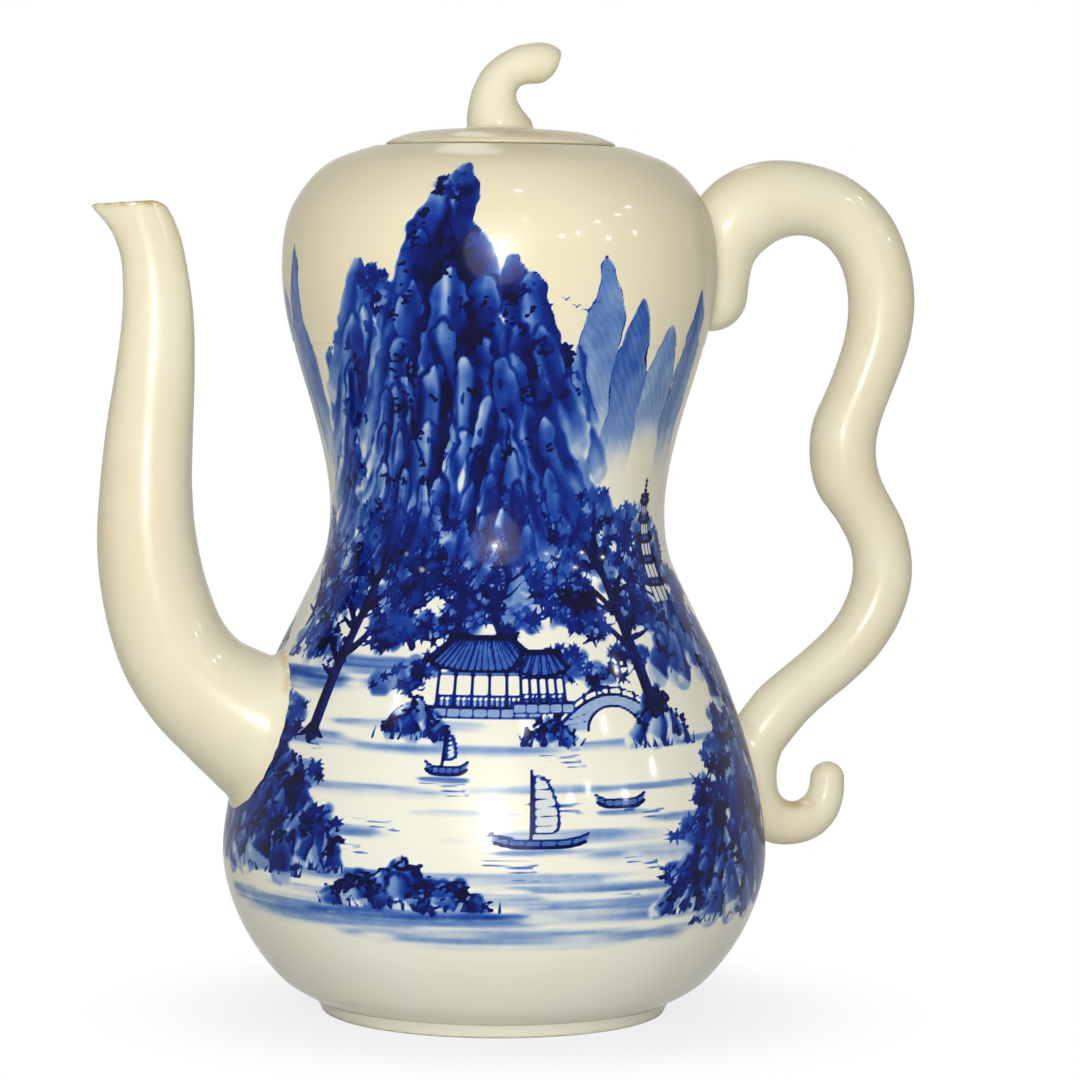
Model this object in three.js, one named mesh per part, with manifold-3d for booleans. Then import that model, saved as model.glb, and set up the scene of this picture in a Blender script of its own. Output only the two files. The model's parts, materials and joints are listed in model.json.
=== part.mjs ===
// A double-gourd wine pot in glazed porcelain: a two-bulb body luted up from thrown rings,
// a swan-neck spout, an S-shaped rolled handle that ends in a curl, and a lift-off lid with a
// gourd-stalk knob. Millimetres, +Z up. The foot stands on z = 0, the spout points to -X and
// the handle to +X.
import * as THREE from 'three';
import { mergeVertices } from 'three/addons/utils/BufferGeometryUtils.js';
import Module from 'manifold-3d';

// Driving dimensions

// The pot's axis lies a little to -X, so that the origin is under the middle of the whole pot.
const AXIS_X = -3.2;
const WALL = 3.2;
const JOINT_GAP = 0.3;

// The outer outline of the body, as radius and height, from the foot joint to the mouth.
const BODY_OUTLINE = [
  [41.2, 3.5],
  [48.6, 8.2],
  [56.0, 17.9],
  [60.4, 28.6],
  [61.5, 38.5],
  [59.6, 51.5],
  [55.7, 65.5],
  [50.3, 79.6],
  [43.7, 93.3],
  [39.1, 103.5],
  [37.8, 112.5],
  [38.5, 122.0],
  [41.2, 134.0],
  [44.8, 146.0],
  [47.9, 157.5],
  [49.0, 168.5],
  [47.8, 178.8],
  [43.9, 186.2],
  [38.0, 191.8],
  [29.0, 195.2],
];
const SPLINE_STEPS = 2;

// Heights of the seams at which the body was luted together.
const LOWER_SEAM_Z = 35.0;
const WAIST_SEAM_Z = 112.0;
const UPPER_SEAM_Z = 151.6;
const SEAT_SEAM_R = 28.7;
// Points of the outline that lie nearer than this to a seam are left out.
const SEAM_CLEARANCE = 0.4;

const FOOT_HEIGHT = 3.2;
const FOOT_OUTER_R = 39.0;
const FOOT_TOP_R = 40.5;
const FOOT_INNER_R = 34.6;
const FOOT_INNER_TOP_R = 34.2;
const FLOOR_UNDERSIDE_Z = 4.6;
const FLOOR_TOP_Z = 8.0;
const FLOOR_CORNER_R = 38.0;

const SEAT_TOP_Z = 195.2;
const SEAT_THICKNESS = 3.0;
const SEAT_INNER_EDGE = 0.5;
const MOUTH_R = 18.0;

const LID_R = 25.8;
const LID_REST_GAP = 0.2;
const LID_JOINT_GAP = 0.1;
const LID_UNDERSIDE_Z = SEAT_TOP_Z + LID_REST_GAP;
const LID_EDGE_HEIGHT = 1.2;
const LID_EDGE_ROUND = 0.5;
const LID_TOP_Z = 199.4;
// The lid's dome between its rounded edge and its flat middle.
const LID_DOME = [
  [24.3, 196.9],
  [20.5, 198.2],
  [16.0, 198.9],
  [8.4, LID_TOP_Z],
];
const VENT_R = 1.5;
const VENT_OFFSET_Y = 11.5;
const COLLAR_OUTER_R = 17.0;
const COLLAR_INNER_R = 14.4;
const COLLAR_DEPTH = 6.0;
const COLLAR_CHAMFER = 1.2;

// Lofted pieces run through stations of x, z and radius, measured from the pot's axis.
const SPOUT_STATIONS = [
  [-46.0, 60.0, 17.6],
  [-54.1, 65.2, 16.5],
  [-60.7, 69.4, 14.7],
  [-68.0, 75.2, 13.15],
  [-73.5, 82.8, 12.4],
  [-77.5, 93.8, 11.8],
  [-79.7, 106.0, 11.1],
  [-80.0, 119.0, 10.2],
  [-79.2, 132.0, 9.6],
  [-78.1, 144.0, 8.8],
  [-77.5, 155.5, 8.0],
  [-77.9, 164.0, 7.4],
  [-78.9, 171.0, 7.0],
  [-80.6, 177.0, 6.9],
  [-82.6, 182.0, 7.1],
];
// Above the bend the spout is pressed slimmer from front to back, by this share of its width.
const SPOUT_SLIMNESS = 0.26;
const SLIM_FROM_Z = 112.0;
const SLIM_TO_Z = 156.0;
const SPOUT_WALL_BASE = 3.0;
const SPOUT_WALL_TIP = 2.0;
const SPOUT_LIP_REACH = 2.6;
const SPOUT_LIP_SHARPNESS = 5;
// The mouth is cut almost level, and dips a little towards its lip.
const SPOUT_MOUTH_ANGLE = Math.PI + 0.07;
const SPOUT_MOUTH_RINGS = 5;
// How far the bore reaches past the spout's first station, and how many of its rings it has.
const BORE_REACH = 2.5;
const BORE_RINGS = 8;

const HANDLE_STATIONS = [
  [49.7, 162.6, 8.3],
  [50.3, 169.0, 8.4],
  [51.4, 174.3, 8.9],
  [56.2, 180.7, 9.6],
  [63.1, 184.25, 9.1],
  [71.2, 184.8, 8.2],
  [79.1, 182.6, 7.8],
  [85.5, 177.2, 7.7],
  [89.3, 169.8, 7.6],
  [90.7, 161.7, 7.6],
  [90.0, 153.6, 7.4],
  [87.5, 145.6, 7.15],
  [84.5, 138.0, 7.1],
  [81.9, 130.6, 7.55],
  [82.5, 121.4, 7.45],
  [86.5, 114.4, 6.7],
  [90.6, 107.2, 6.6],
  [92.0, 98.8, 6.75],
  [90.0, 90.7, 6.65],
  [85.6, 83.5, 6.45],
  [79.8, 77.9, 6.4],
  [73.2, 72.7, 6.3],
  [67.2, 67.4, 6.6],
  [62.6, 61.6, 6.6],
];

// Pieces that bend sharply run through ribs, which give the x and z of both sides: first the
// side on the left as the run goes, then the side on the right.
// The tail carries on from the end of the handle, and curls up.
const TAIL_RIBS = [
  [66.7, 54.0, 55.0, 58.8],
  [66.77, 49.9, 54.4, 50.2],
  [67.63, 47.6, 57.9, 41.2],
  [69.29, 46.23, 64.7, 36.6],
  [71.06, 45.82, 71.2, 35.9],
  [72.76, 46.26, 77.0, 37.7],
  [74.1, 47.29, 81.0, 41.6],
  [74.88, 48.75, 82.85, 46.55],
  [75.23, 50.79, 83.1, 51.2],
];

// The stalk goes from its foot on the lid, over towards +X, to the slanting cut end.
const STALK_RIBS = [
  [-7.6, 199.7, 7.3, 199.7],
  [-7.7, 201.2, 7.0, 200.9],
  [-7.6, 203.0, 5.9, 202.5],
  [-7.2, 205.4, 4.5, 204.2],
  [-6.4, 208.5, 3.55, 205.9],
  [-4.3, 212.5, 3.4, 207.3],
  [-1.2, 215.5, 3.9, 208.5],
  [2.6, 217.7, 5.1, 209.35],
  [6.2, 218.75, 7.0, 209.65],
  [9.4, 218.95, 8.7, 209.75],
  [11.8, 218.45, 10.0, 210.15],
  [13.45, 217.4, 11.1, 211.1],
];
// The cut end is a little domed: shares of the last rib's size, and how far they stand out.
const STALK_END_DOME = [
  [0.85, 0.35],
  [0.45, 0.65],
];

// Facet counts
const BODY_SEGMENTS = 48;
const LID_SEGMENTS = 48;
const SPOUT_SIDES = 20;
const HANDLE_SIDES = 16;
const TAIL_SIDES = 14;
const STALK_SIDES = 14;
const VENT_SIDES = 12;
const CAP_RINGS = 4;
// A round end stops this share of a ring short of its pole, where its flat cap closes it.
const CAP_REST = 0.5;
const WELD_DISTANCE = 1e-4;

// Glazes

function glaze(color) {
  return new THREE.MeshStandardMaterial({ color, roughness: 0.12, metalness: 0.0 });
}

const paintedGlaze = glaze('#dfe0d6');
const ivoryGlaze = glaze('#e2d9b9');
const bareClay = new THREE.MeshStandardMaterial({ color: '#d9cfb8', roughness: 0.8, metalness: 0.0 });

// Solids

const wasm = await Module();
wasm.setup();

function toSolid(geometry) {
  const bare = geometry.clone();
  bare.deleteAttribute('normal');
  bare.deleteAttribute('uv');
  const merged = mergeVertices(bare, WELD_DISTANCE);
  return new wasm.Manifold(new wasm.Mesh({
    numProp: 3,
    vertProperties: Float32Array.from(merged.attributes.position.array),
    triVerts: Uint32Array.from(merged.index.array),
  }));
}

function toGeometry(solid) {
  const mesh = solid.getMesh();
  const geometry = new THREE.BufferGeometry();
  geometry.setAttribute('position', new THREE.BufferAttribute(mesh.vertProperties, 3));
  geometry.setIndex(new THREE.BufferAttribute(mesh.triVerts, 1));
  geometry.computeVertexNormals();
  return geometry;
}

// Turns a closed loop, or an outline that starts and ends on the axis, about +Z.
// The outline is given as radius and height, anticlockwise with radius to the right.
function turned(outline, segments) {
  const points = outline.map(([radius, height]) => new THREE.Vector2(radius, height));
  const onAxis = outline[0][0] === 0 && outline[outline.length - 1][0] === 0;
  if (!onAxis) {
    points.push(points[0].clone());
  }
  const geometry = new THREE.LatheGeometry(points, segments);
  geometry.rotateX(Math.PI / 2);
  return geometry;
}

// A ring of points about a centre: its first axis lies in the XZ plane at the given angle
// from +X, and its second is +Y. Depth is the share of its radius that it has along +Y.
function ringPoints(ring, sides) {
  const points = [];
  for (let side = 0; side < sides; side += 1) {
    const turn = (2 * Math.PI * side) / sides;
    const lip = ring.lip * Math.max(0, Math.cos(turn)) ** SPOUT_LIP_SHARPNESS;
    const across = (ring.radius + lip) * Math.cos(turn);
    points.push(new THREE.Vector3(
      ring.x + across * Math.cos(ring.angle),
      ring.radius * ring.depth * Math.sin(turn),
      ring.z + across * Math.sin(ring.angle),
    ));
  }
  return points;
}

// Joins rings into one closed body. A closed chain of rings gives a sleeve, and an open one
// is capped at both ends.
function lofted(rings, sides, isSleeve) {
  const positions = [];
  const faces = [];
  for (const ring of rings) {
    for (const point of ringPoints(ring, sides)) {
      positions.push(point.x, point.y, point.z);
    }
  }
  const spans = isSleeve ? rings.length : rings.length - 1;
  for (let span = 0; span < spans; span += 1) {
    const here = span * sides;
    const next = ((span + 1) % rings.length) * sides;
    for (let side = 0; side < sides; side += 1) {
      const after = (side + 1) % sides;
      faces.push(here + side, here + after, next + after);
      faces.push(here + side, next + after, next + side);
    }
  }
  if (!isSleeve) {
    addCap(positions, faces, rings[0], 0, sides, false);
    addCap(positions, faces, rings[rings.length - 1], spans * sides, sides, true);
  }
  const geometry = new THREE.BufferGeometry();
  geometry.setAttribute('position', new THREE.Float32BufferAttribute(positions, 3));
  geometry.setIndex(faces);
  return facingOut(geometry);
}

function addCap(positions, faces, ring, start, sides, isLast) {
  const centre = positions.length / 3;
  positions.push(ring.x, 0, ring.z);
  for (let side = 0; side < sides; side += 1) {
    const after = (side + 1) % sides;
    if (isLast) {
      faces.push(start + side, start + after, centre);
    } else {
      faces.push(start + after, start + side, centre);
    }
  }
}

function signedVolume(geometry) {
  const place = geometry.attributes.position;
  const index = geometry.index.array;
  const corner = [new THREE.Vector3(), new THREE.Vector3(), new THREE.Vector3()];
  let volume = 0;
  for (let face = 0; face < index.length; face += 3) {
    corner.forEach((vector, k) => vector.fromBufferAttribute(place, index[face + k]));
    volume += corner[0].dot(corner[1].clone().cross(corner[2])) / 6;
  }
  return volume;
}

function facingOut(geometry) {
  if (signedVolume(geometry) < 0) {
    const index = geometry.index.array;
    for (let face = 0; face < index.length; face += 3) {
      [index[face], index[face + 1]] = [index[face + 1], index[face]];
    }
  }
  geometry.computeVertexNormals();
  return geometry;
}

// Smooth runs through stations

function splineThrough(stations, steps) {
  const path = new THREE.CatmullRomCurve3(
    stations.map(([x, z, radius]) => new THREE.Vector3(x, radius, z)),
    false,
    'centripetal',
  );
  const rings = [];
  const count = (stations.length - 1) * steps;
  for (let step = 0; step <= count; step += 1) {
    const along = step / count;
    const place = path.getPoint(along);
    const heading = path.getTangent(along);
    const angle = Math.atan2(-heading.x, heading.z);
    rings.push({ x: place.x, z: place.z, radius: place.y, angle, depth: 1, lip: 0 });
  }
  return rings;
}

// Rings that span ribs of the form first x, first z, second x, second z.
function ribRings(ribs, steps) {
  const first = new THREE.SplineCurve(ribs.map((rib) => new THREE.Vector2(rib[0], rib[1])));
  const second = new THREE.SplineCurve(ribs.map((rib) => new THREE.Vector2(rib[2], rib[3])));
  const count = (ribs.length - 1) * steps;
  const rings = [];
  for (let step = 0; step <= count; step += 1) {
    const from = first.getPoint(step / count);
    const to = second.getPoint(step / count);
    rings.push({
      x: (from.x + to.x) / 2,
      z: (from.y + to.y) / 2,
      radius: from.distanceTo(to) / 2,
      angle: Math.atan2(to.y - from.y, to.x - from.x),
      depth: 1,
      lip: 0,
    });
  }
  return rings;
}

// Rings that close a run with a half ball. Direction is 1 past the last ring, -1 before it.
function roundEnd(ring, direction, length) {
  const rings = [];
  for (let step = 1; step <= CAP_RINGS; step += 1) {
    const turn = (Math.PI / 2) * (step / (CAP_RINGS + CAP_REST));
    const reach = direction * length * Math.sin(turn);
    rings.push({
      ...ring,
      x: ring.x - Math.sin(ring.angle) * reach,
      z: ring.z + Math.cos(ring.angle) * reach,
      radius: ring.radius * Math.cos(turn),
    });
  }
  return rings;
}

function shifted(ring, distance) {
  return {
    ...ring,
    x: ring.x - Math.sin(ring.angle) * distance,
    z: ring.z + Math.cos(ring.angle) * distance,
  };
}

// Body

function bodyCurve() {
  const curve = new THREE.SplineCurve(BODY_OUTLINE.map(([r, z]) => new THREE.Vector2(r, z)));
  return curve.getPoints((BODY_OUTLINE.length - 1) * SPLINE_STEPS);
}

const bodyOuter = bodyCurve();

// The outline moved inwards by a distance, square to itself.
function bodyOffset(distance) {
  return bodyOuter.map((point, k) => {
    const before = bodyOuter[Math.max(0, k - 1)];
    const after = bodyOuter[Math.min(bodyOuter.length - 1, k + 1)];
    const heading = after.clone().sub(before).normalize();
    return new THREE.Vector2(point.x - heading.y * distance, point.y + heading.x * distance);
  });
}

const bodyInner = bodyOffset(WALL);

function pointAtHeight(outline, height) {
  for (let k = 1; k < outline.length; k += 1) {
    const low = outline[k - 1];
    const high = outline[k];
    if (low.y <= height && height <= high.y) {
      const share = (height - low.y) / (high.y - low.y);
      return [low.x + (high.x - low.x) * share, height];
    }
  }
  throw new Error(`no outline at height ${height}`);
}

function between(outline, low, high) {
  const lowest = low + SEAM_CLEARANCE;
  const highest = high - SEAM_CLEARANCE;
  const inside = outline.filter((point) => point.y > lowest && point.y < highest);
  return [
    pointAtHeight(outline, low),
    ...inside.map((point) => [point.x, point.y]),
    pointAtHeight(outline, high),
  ];
}

function wallSection(low, high) {
  return [...between(bodyOuter, low, high), ...between(bodyInner, low, high).reverse()];
}

function footRing() {
  return turned([
    [FOOT_INNER_R, 0],
    [FOOT_OUTER_R, 0],
    [FOOT_TOP_R, FOOT_HEIGHT],
    [FOOT_INNER_TOP_R, FOOT_HEIGHT],
  ], BODY_SEGMENTS);
}

function lowerBowl() {
  const start = BODY_OUTLINE[0][1];
  const top = LOWER_SEAM_Z - JOINT_GAP / 2;
  const outside = between(bodyOuter, start, top);
  const inside = between(bodyInner, FLOOR_TOP_Z + WALL, top).reverse();
  return turned([
    [0, FLOOR_UNDERSIDE_Z],
    [FOOT_INNER_TOP_R - WALL / 2, FLOOR_UNDERSIDE_Z],
    [FOOT_INNER_TOP_R, start],
    ...outside,
    ...inside,
    [FLOOR_CORNER_R, FLOOR_TOP_Z],
    [0, FLOOR_TOP_Z],
  ], BODY_SEGMENTS);
}

function bodySection(low, high) {
  return turned(wallSection(low + JOINT_GAP / 2, high - JOINT_GAP / 2), BODY_SEGMENTS);
}

function upperShoulder() {
  const low = UPPER_SEAM_Z + JOINT_GAP / 2;
  const last = bodyOuter[bodyOuter.length - 1];
  const seatUnderside = SEAT_TOP_Z - SEAT_THICKNESS;
  const outside = between(bodyOuter, low, last.y);
  const inside = between(bodyInner, low, seatUnderside - JOINT_GAP).reverse();
  return turned([
    ...outside,
    [SEAT_SEAM_R, seatUnderside],
    ...inside.filter(([radius]) => radius > SEAT_SEAM_R + SEAT_INNER_EDGE),
  ], BODY_SEGMENTS);
}

function lidSeat() {
  const outerR = SEAT_SEAM_R - JOINT_GAP;
  return turned([
    [MOUTH_R, SEAT_TOP_Z - SEAT_THICKNESS],
    [outerR, SEAT_TOP_Z - SEAT_THICKNESS],
    [outerR, SEAT_TOP_Z],
    [MOUTH_R, SEAT_TOP_Z],
  ], BODY_SEGMENTS);
}

// A solid that fills the body and the joint gap, used to cut what is luted on to the body.
function bodyFilled() {
  const around = bodyOffset(-JOINT_GAP).map((point) => [point.x, point.y]);
  return toSolid(turned([[0, around[0][1]], ...around, [0, around[around.length - 1][1]]],
    BODY_SEGMENTS));
}

// Spout

function spoutRings() {
  const rings = splineThrough(SPOUT_STATIONS, SPLINE_STEPS);
  const last = rings.length - 1;
  // The rings turn towards the mouth over the last few of them.
  return rings.map((ring, k) => {
    const near = Math.max(0, 1 - (last - k) / SPOUT_MOUTH_RINGS);
    const inwards = ring.angle + (ring.angle < 0 ? Math.PI : -Math.PI);
    const towards = inwards < 0 ? inwards + 2 * Math.PI : inwards;
    const slim = THREE.MathUtils.smoothstep(ring.z, SLIM_FROM_Z, SLIM_TO_Z);
    return {
      ...ring,
      depth: 1 - SPOUT_SLIMNESS * slim,
      angle: towards + (SPOUT_MOUTH_ANGLE - towards) * near,
      lip: SPOUT_LIP_REACH * near ** 3,
    };
  });
}

function channelRings(outer) {
  const last = outer.length - 1;
  return outer.map((ring, k) => {
    const wall = SPOUT_WALL_BASE + (SPOUT_WALL_TIP - SPOUT_WALL_BASE) * (k / last);
    return { ...ring, radius: ring.radius - wall };
  });
}

function spout(filler) {
  const outer = spoutRings();
  const inner = channelRings(outer);
  const sleeve = lofted([...outer, ...inner.reverse()], SPOUT_SIDES, true);
  return toGeometry(toSolid(sleeve).subtract(filler));
}

// The bore through the body wall that the spout is luted over.
function spoutHole() {
  const inner = channelRings(spoutRings());
  const first = inner[0];
  const second = inner[SPLINE_STEPS];
  const start = {
    ...first,
    x: first.x + (first.x - second.x) * BORE_REACH,
    z: first.z + (first.z - second.z) * BORE_REACH,
  };
  return toSolid(lofted([start, ...inner.slice(0, BORE_RINGS)], SPOUT_SIDES, false));
}

// Handle and tail

function handle(filler) {
  const rings = splineThrough(HANDLE_STATIONS, SPLINE_STEPS);
  const start = roundEnd(rings[0], -1, rings[0].radius).reverse();
  rings[rings.length - 1] = shifted(rings[rings.length - 1], -JOINT_GAP / 2);
  const strand = lofted([...start, ...rings], HANDLE_SIDES, false);
  return toGeometry(toSolid(strand).subtract(filler));
}

// The rib that lies across a ring.
function ribAcross(ring) {
  const across = ring.radius * Math.cos(ring.angle);
  const up = ring.radius * Math.sin(ring.angle);
  return [ring.x - across, ring.z - up, ring.x + across, ring.z + up];
}

function tail(filler) {
  const handleEnd = splineThrough(HANDLE_STATIONS, SPLINE_STEPS).pop();
  const rings = ribRings([ribAcross(handleEnd), ...TAIL_RIBS], SPLINE_STEPS);
  rings[0] = shifted(rings[0], JOINT_GAP / 2);
  const last = rings[rings.length - 1];
  const curl = lofted([...rings, ...roundEnd(last, 1, last.radius)], TAIL_SIDES, false);
  return toGeometry(toSolid(curl).subtract(filler));
}

// Lid

function lidDisc() {
  const edgeTop = LID_UNDERSIDE_Z + LID_EDGE_HEIGHT;
  const dome = turned([
    [0, LID_UNDERSIDE_Z],
    [LID_R - LID_EDGE_ROUND, LID_UNDERSIDE_Z],
    [LID_R, LID_UNDERSIDE_Z + LID_EDGE_ROUND],
    [LID_R - LID_EDGE_ROUND / 2, edgeTop - LID_EDGE_ROUND / 2],
    ...LID_DOME,
    [0, LID_TOP_Z],
  ], LID_SEGMENTS);
  const lidThickness = LID_TOP_Z - LID_UNDERSIDE_Z;
  const drill = new THREE.CylinderGeometry(VENT_R, VENT_R, 3 * lidThickness, VENT_SIDES);
  drill.rotateX(Math.PI / 2);
  drill.translate(0, VENT_OFFSET_Y, LID_UNDERSIDE_Z + lidThickness / 2);
  return toGeometry(toSolid(dome).subtract(toSolid(drill)));
}

function lidCollar() {
  const top = LID_UNDERSIDE_Z - LID_JOINT_GAP;
  return turned([
    [COLLAR_INNER_R, top - COLLAR_DEPTH],
    [COLLAR_OUTER_R - COLLAR_CHAMFER / 2, top - COLLAR_DEPTH],
    [COLLAR_OUTER_R, top - COLLAR_DEPTH + COLLAR_CHAMFER],
    [COLLAR_OUTER_R, top],
    [COLLAR_INNER_R, top],
  ], LID_SEGMENTS);
}

function lidStalk() {
  const rings = ribRings(STALK_RIBS, SPLINE_STEPS);
  const last = rings[rings.length - 1];
  const domed = STALK_END_DOME.map(([share, reach]) => (
    shifted({ ...last, radius: last.radius * share }, reach)
  ));
  return lofted([...rings, ...domed], STALK_SIDES, false);
}

// The pot

const pot = new THREE.Group();
pot.position.x = AXIS_X;

const lid = new THREE.Group();

function add(group, name, geometry, material) {
  const mesh = new THREE.Mesh(geometry, material);
  mesh.name = name;
  group.add(mesh);
}

const filler = bodyFilled();
const holedShoulder = toGeometry(
  toSolid(bodySection(LOWER_SEAM_Z, WAIST_SEAM_Z)).subtract(spoutHole()),
);

add(pot, 'foot_ring', footRing(), bareClay);
add(pot, 'lower_bowl', lowerBowl(), paintedGlaze);
add(pot, 'lower_shoulder', holedShoulder, paintedGlaze);
add(pot, 'upper_bowl', bodySection(WAIST_SEAM_Z, UPPER_SEAM_Z), paintedGlaze);
add(pot, 'upper_shoulder', upperShoulder(), paintedGlaze);
add(pot, 'lid_seat', lidSeat(), ivoryGlaze);
add(pot, 'spout', spout(filler), ivoryGlaze);
add(pot, 'handle', handle(filler), ivoryGlaze);
add(pot, 'handle_tail', tail(filler), ivoryGlaze);
add(lid, 'lid_disc', lidDisc(), ivoryGlaze);
add(lid, 'lid_collar', lidCollar(), ivoryGlaze);
add(lid, 'lid_stalk', lidStalk(), ivoryGlaze);
pot.add(lid);

const winePot = new THREE.Group();
winePot.add(pot);

export default winePot;
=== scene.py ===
"""A double-gourd wine pot in blue and white porcelain, dressed around its CAD frame.

The body rings, the spout, the handle, its tail and the lid are rebuilt as fine meshes on the
same outlines as the solids. The painting is laid on the body as brush strokes in the unrolled
plane of the pot, and reaches the shader as three values at each point of the mesh.
"""
import json
import math

import bmesh
import bpy
import numpy as np
from bpy.props import FloatProperty, FloatVectorProperty, IntProperty, PointerProperty
from mathutils import Matrix, Vector

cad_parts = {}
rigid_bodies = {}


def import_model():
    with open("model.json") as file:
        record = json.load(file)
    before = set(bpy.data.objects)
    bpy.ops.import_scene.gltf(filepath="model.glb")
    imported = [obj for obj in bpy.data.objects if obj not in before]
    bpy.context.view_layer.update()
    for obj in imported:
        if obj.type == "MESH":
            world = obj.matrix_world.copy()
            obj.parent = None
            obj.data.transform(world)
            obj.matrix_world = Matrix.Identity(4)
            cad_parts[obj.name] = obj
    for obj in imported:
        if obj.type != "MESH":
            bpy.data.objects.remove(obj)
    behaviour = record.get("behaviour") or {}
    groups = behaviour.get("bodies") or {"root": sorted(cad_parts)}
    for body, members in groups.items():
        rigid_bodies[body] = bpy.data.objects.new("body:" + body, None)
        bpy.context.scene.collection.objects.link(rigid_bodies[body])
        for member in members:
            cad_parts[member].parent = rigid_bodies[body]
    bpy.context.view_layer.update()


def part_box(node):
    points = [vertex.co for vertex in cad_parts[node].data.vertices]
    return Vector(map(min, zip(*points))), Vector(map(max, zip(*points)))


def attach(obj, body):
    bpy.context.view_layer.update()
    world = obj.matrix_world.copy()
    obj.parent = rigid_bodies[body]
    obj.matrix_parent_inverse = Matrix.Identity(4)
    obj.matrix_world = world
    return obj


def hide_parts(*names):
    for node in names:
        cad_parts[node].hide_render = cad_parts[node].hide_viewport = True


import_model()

bl_info = {
    "name": "Porcelain Wine Pot",
    "version": (1, 0, 0),
    "blender": (4, 5, 0),
    "location": "View3D > Sidebar > Wine Pot",
    "description": "Glazed and painted surfaces, studio and camera for a double-gourd wine pot",
    "category": "Object",
}

MM = 0.001


def middle_x(node):
    low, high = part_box(node)
    return (low.x + high.x) / 2 / MM


# Shapes are in millimetres from the pot's axis, as radius or x and height.
AXIS_X = middle_x("foot_ring")
WALL = 3.2
# The inside of the wall needs no finer rows than this.
INNER_ROW = 3.0
BODY_OUTLINE = [
    (41.2, 3.5), (48.6, 8.2), (56.0, 17.9), (60.4, 28.6), (61.5, 38.5), (59.6, 51.5),
    (55.7, 65.5), (50.3, 79.6), (43.7, 93.3), (39.1, 103.5), (37.8, 112.5), (38.5, 122.0),
    (41.2, 134.0), (44.8, 146.0), (47.9, 157.5), (49.0, 168.5), (47.8, 178.8),
    (43.9, 186.2), (38.0, 191.8), (29.0, 195.2),
]
LOWER_SEAM_Z = 35.0
WAIST_SEAM_Z = 112.0
UPPER_SEAM_Z = 151.6
SEAT_TOP_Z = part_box("lid_seat")[1].z / MM
SEAT_UNDER_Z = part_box("lid_seat")[0].z / MM
SEAT_SEAM_R = 28.7
MOUTH_R = 18.0
FOOT_OUTER_R = 39.0
FOOT_TOP_R = 40.5
FOOT_INNER_R = 34.6
FOOT_INSET = 0.4
FOOT_SEAM = 0.3
BARE_EDGE_Z = 0.7
BARE_RIM_R = FOOT_OUTER_R - 1.0
FLOOR_UNDERSIDE_Z = 4.6
FLOOR_TOP_Z = 8.0
FLOOR_CORNER_R = 38.0

SPOUT_STATIONS = [
    (-46.0, 60.0, 17.6), (-54.1, 65.2, 16.5), (-60.7, 69.4, 14.7), (-68.0, 75.2, 13.15),
    (-73.5, 82.8, 12.4), (-77.5, 93.8, 11.8), (-79.7, 106.0, 11.1), (-80.0, 119.0, 10.2),
    (-79.2, 132.0, 9.6), (-78.1, 144.0, 8.8), (-77.5, 155.5, 8.0), (-77.9, 164.0, 7.4),
    (-78.9, 171.0, 7.0), (-80.6, 177.0, 6.9), (-82.6, 182.0, 7.1),
]
SPOUT_WALL_BASE = 3.0
SPOUT_WALL_TIP = 2.0
SPOUT_LIP_REACH = 2.6
SPOUT_LIP_SHARPNESS = 5
# The lip grows over the last stations, and keeps its full reach at the very end.
SPOUT_LIP_SPAN = 2.5
SPOUT_LIP_FULL = 0.92
SPOUT_MOUTH_ANGLE = math.pi + 0.07
# Above the bend the spout is pressed slimmer from front to back, by this share of its width.
SPOUT_SLIMNESS = 0.26
SLIM_FROM_Z = 112.0
SLIM_TO_Z = 156.0
# The cut edge is rounded, and it curves down past this share of its reach towards the body.
MOUTH_ROUND = 0.75
MOUTH_LEVEL_SHARE = 0.45
MOUTH_CORNER = 1.7
MOUTH_CORNER_REACH = 9.0
# Farther inside the body than any of the spout's points.
DEEP_INSIDE = 64.0
# The hole through the body's wall is a little wider than the spout's channel, and starts this
# far inside the spout's first ring.
BORE_CLEARANCE = 0.4
BORE_START = (12.0, -8.6)
BORE_RINGS = 26

HANDLE_STATIONS = [
    (49.7, 162.6, 8.3), (50.3, 169.0, 8.4), (51.4, 174.3, 8.9), (56.2, 180.7, 9.6),
    (63.1, 184.25, 9.1), (71.2, 184.8, 8.2), (79.1, 182.6, 7.8), (85.5, 177.2, 7.7),
    (89.3, 169.8, 7.6), (90.7, 161.7, 7.6), (90.0, 153.6, 7.4), (87.5, 145.6, 7.15),
    (84.5, 138.0, 7.1), (81.9, 130.6, 7.55), (82.5, 121.4, 7.45), (86.5, 114.4, 6.7),
    (90.6, 107.2, 6.6), (92.0, 98.8, 6.75), (90.0, 90.7, 6.65), (85.6, 83.5, 6.45),
    (79.8, 77.9, 6.4), (73.2, 72.7, 6.3), (67.2, 67.4, 6.6), (62.6, 61.6, 6.6),
]
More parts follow.
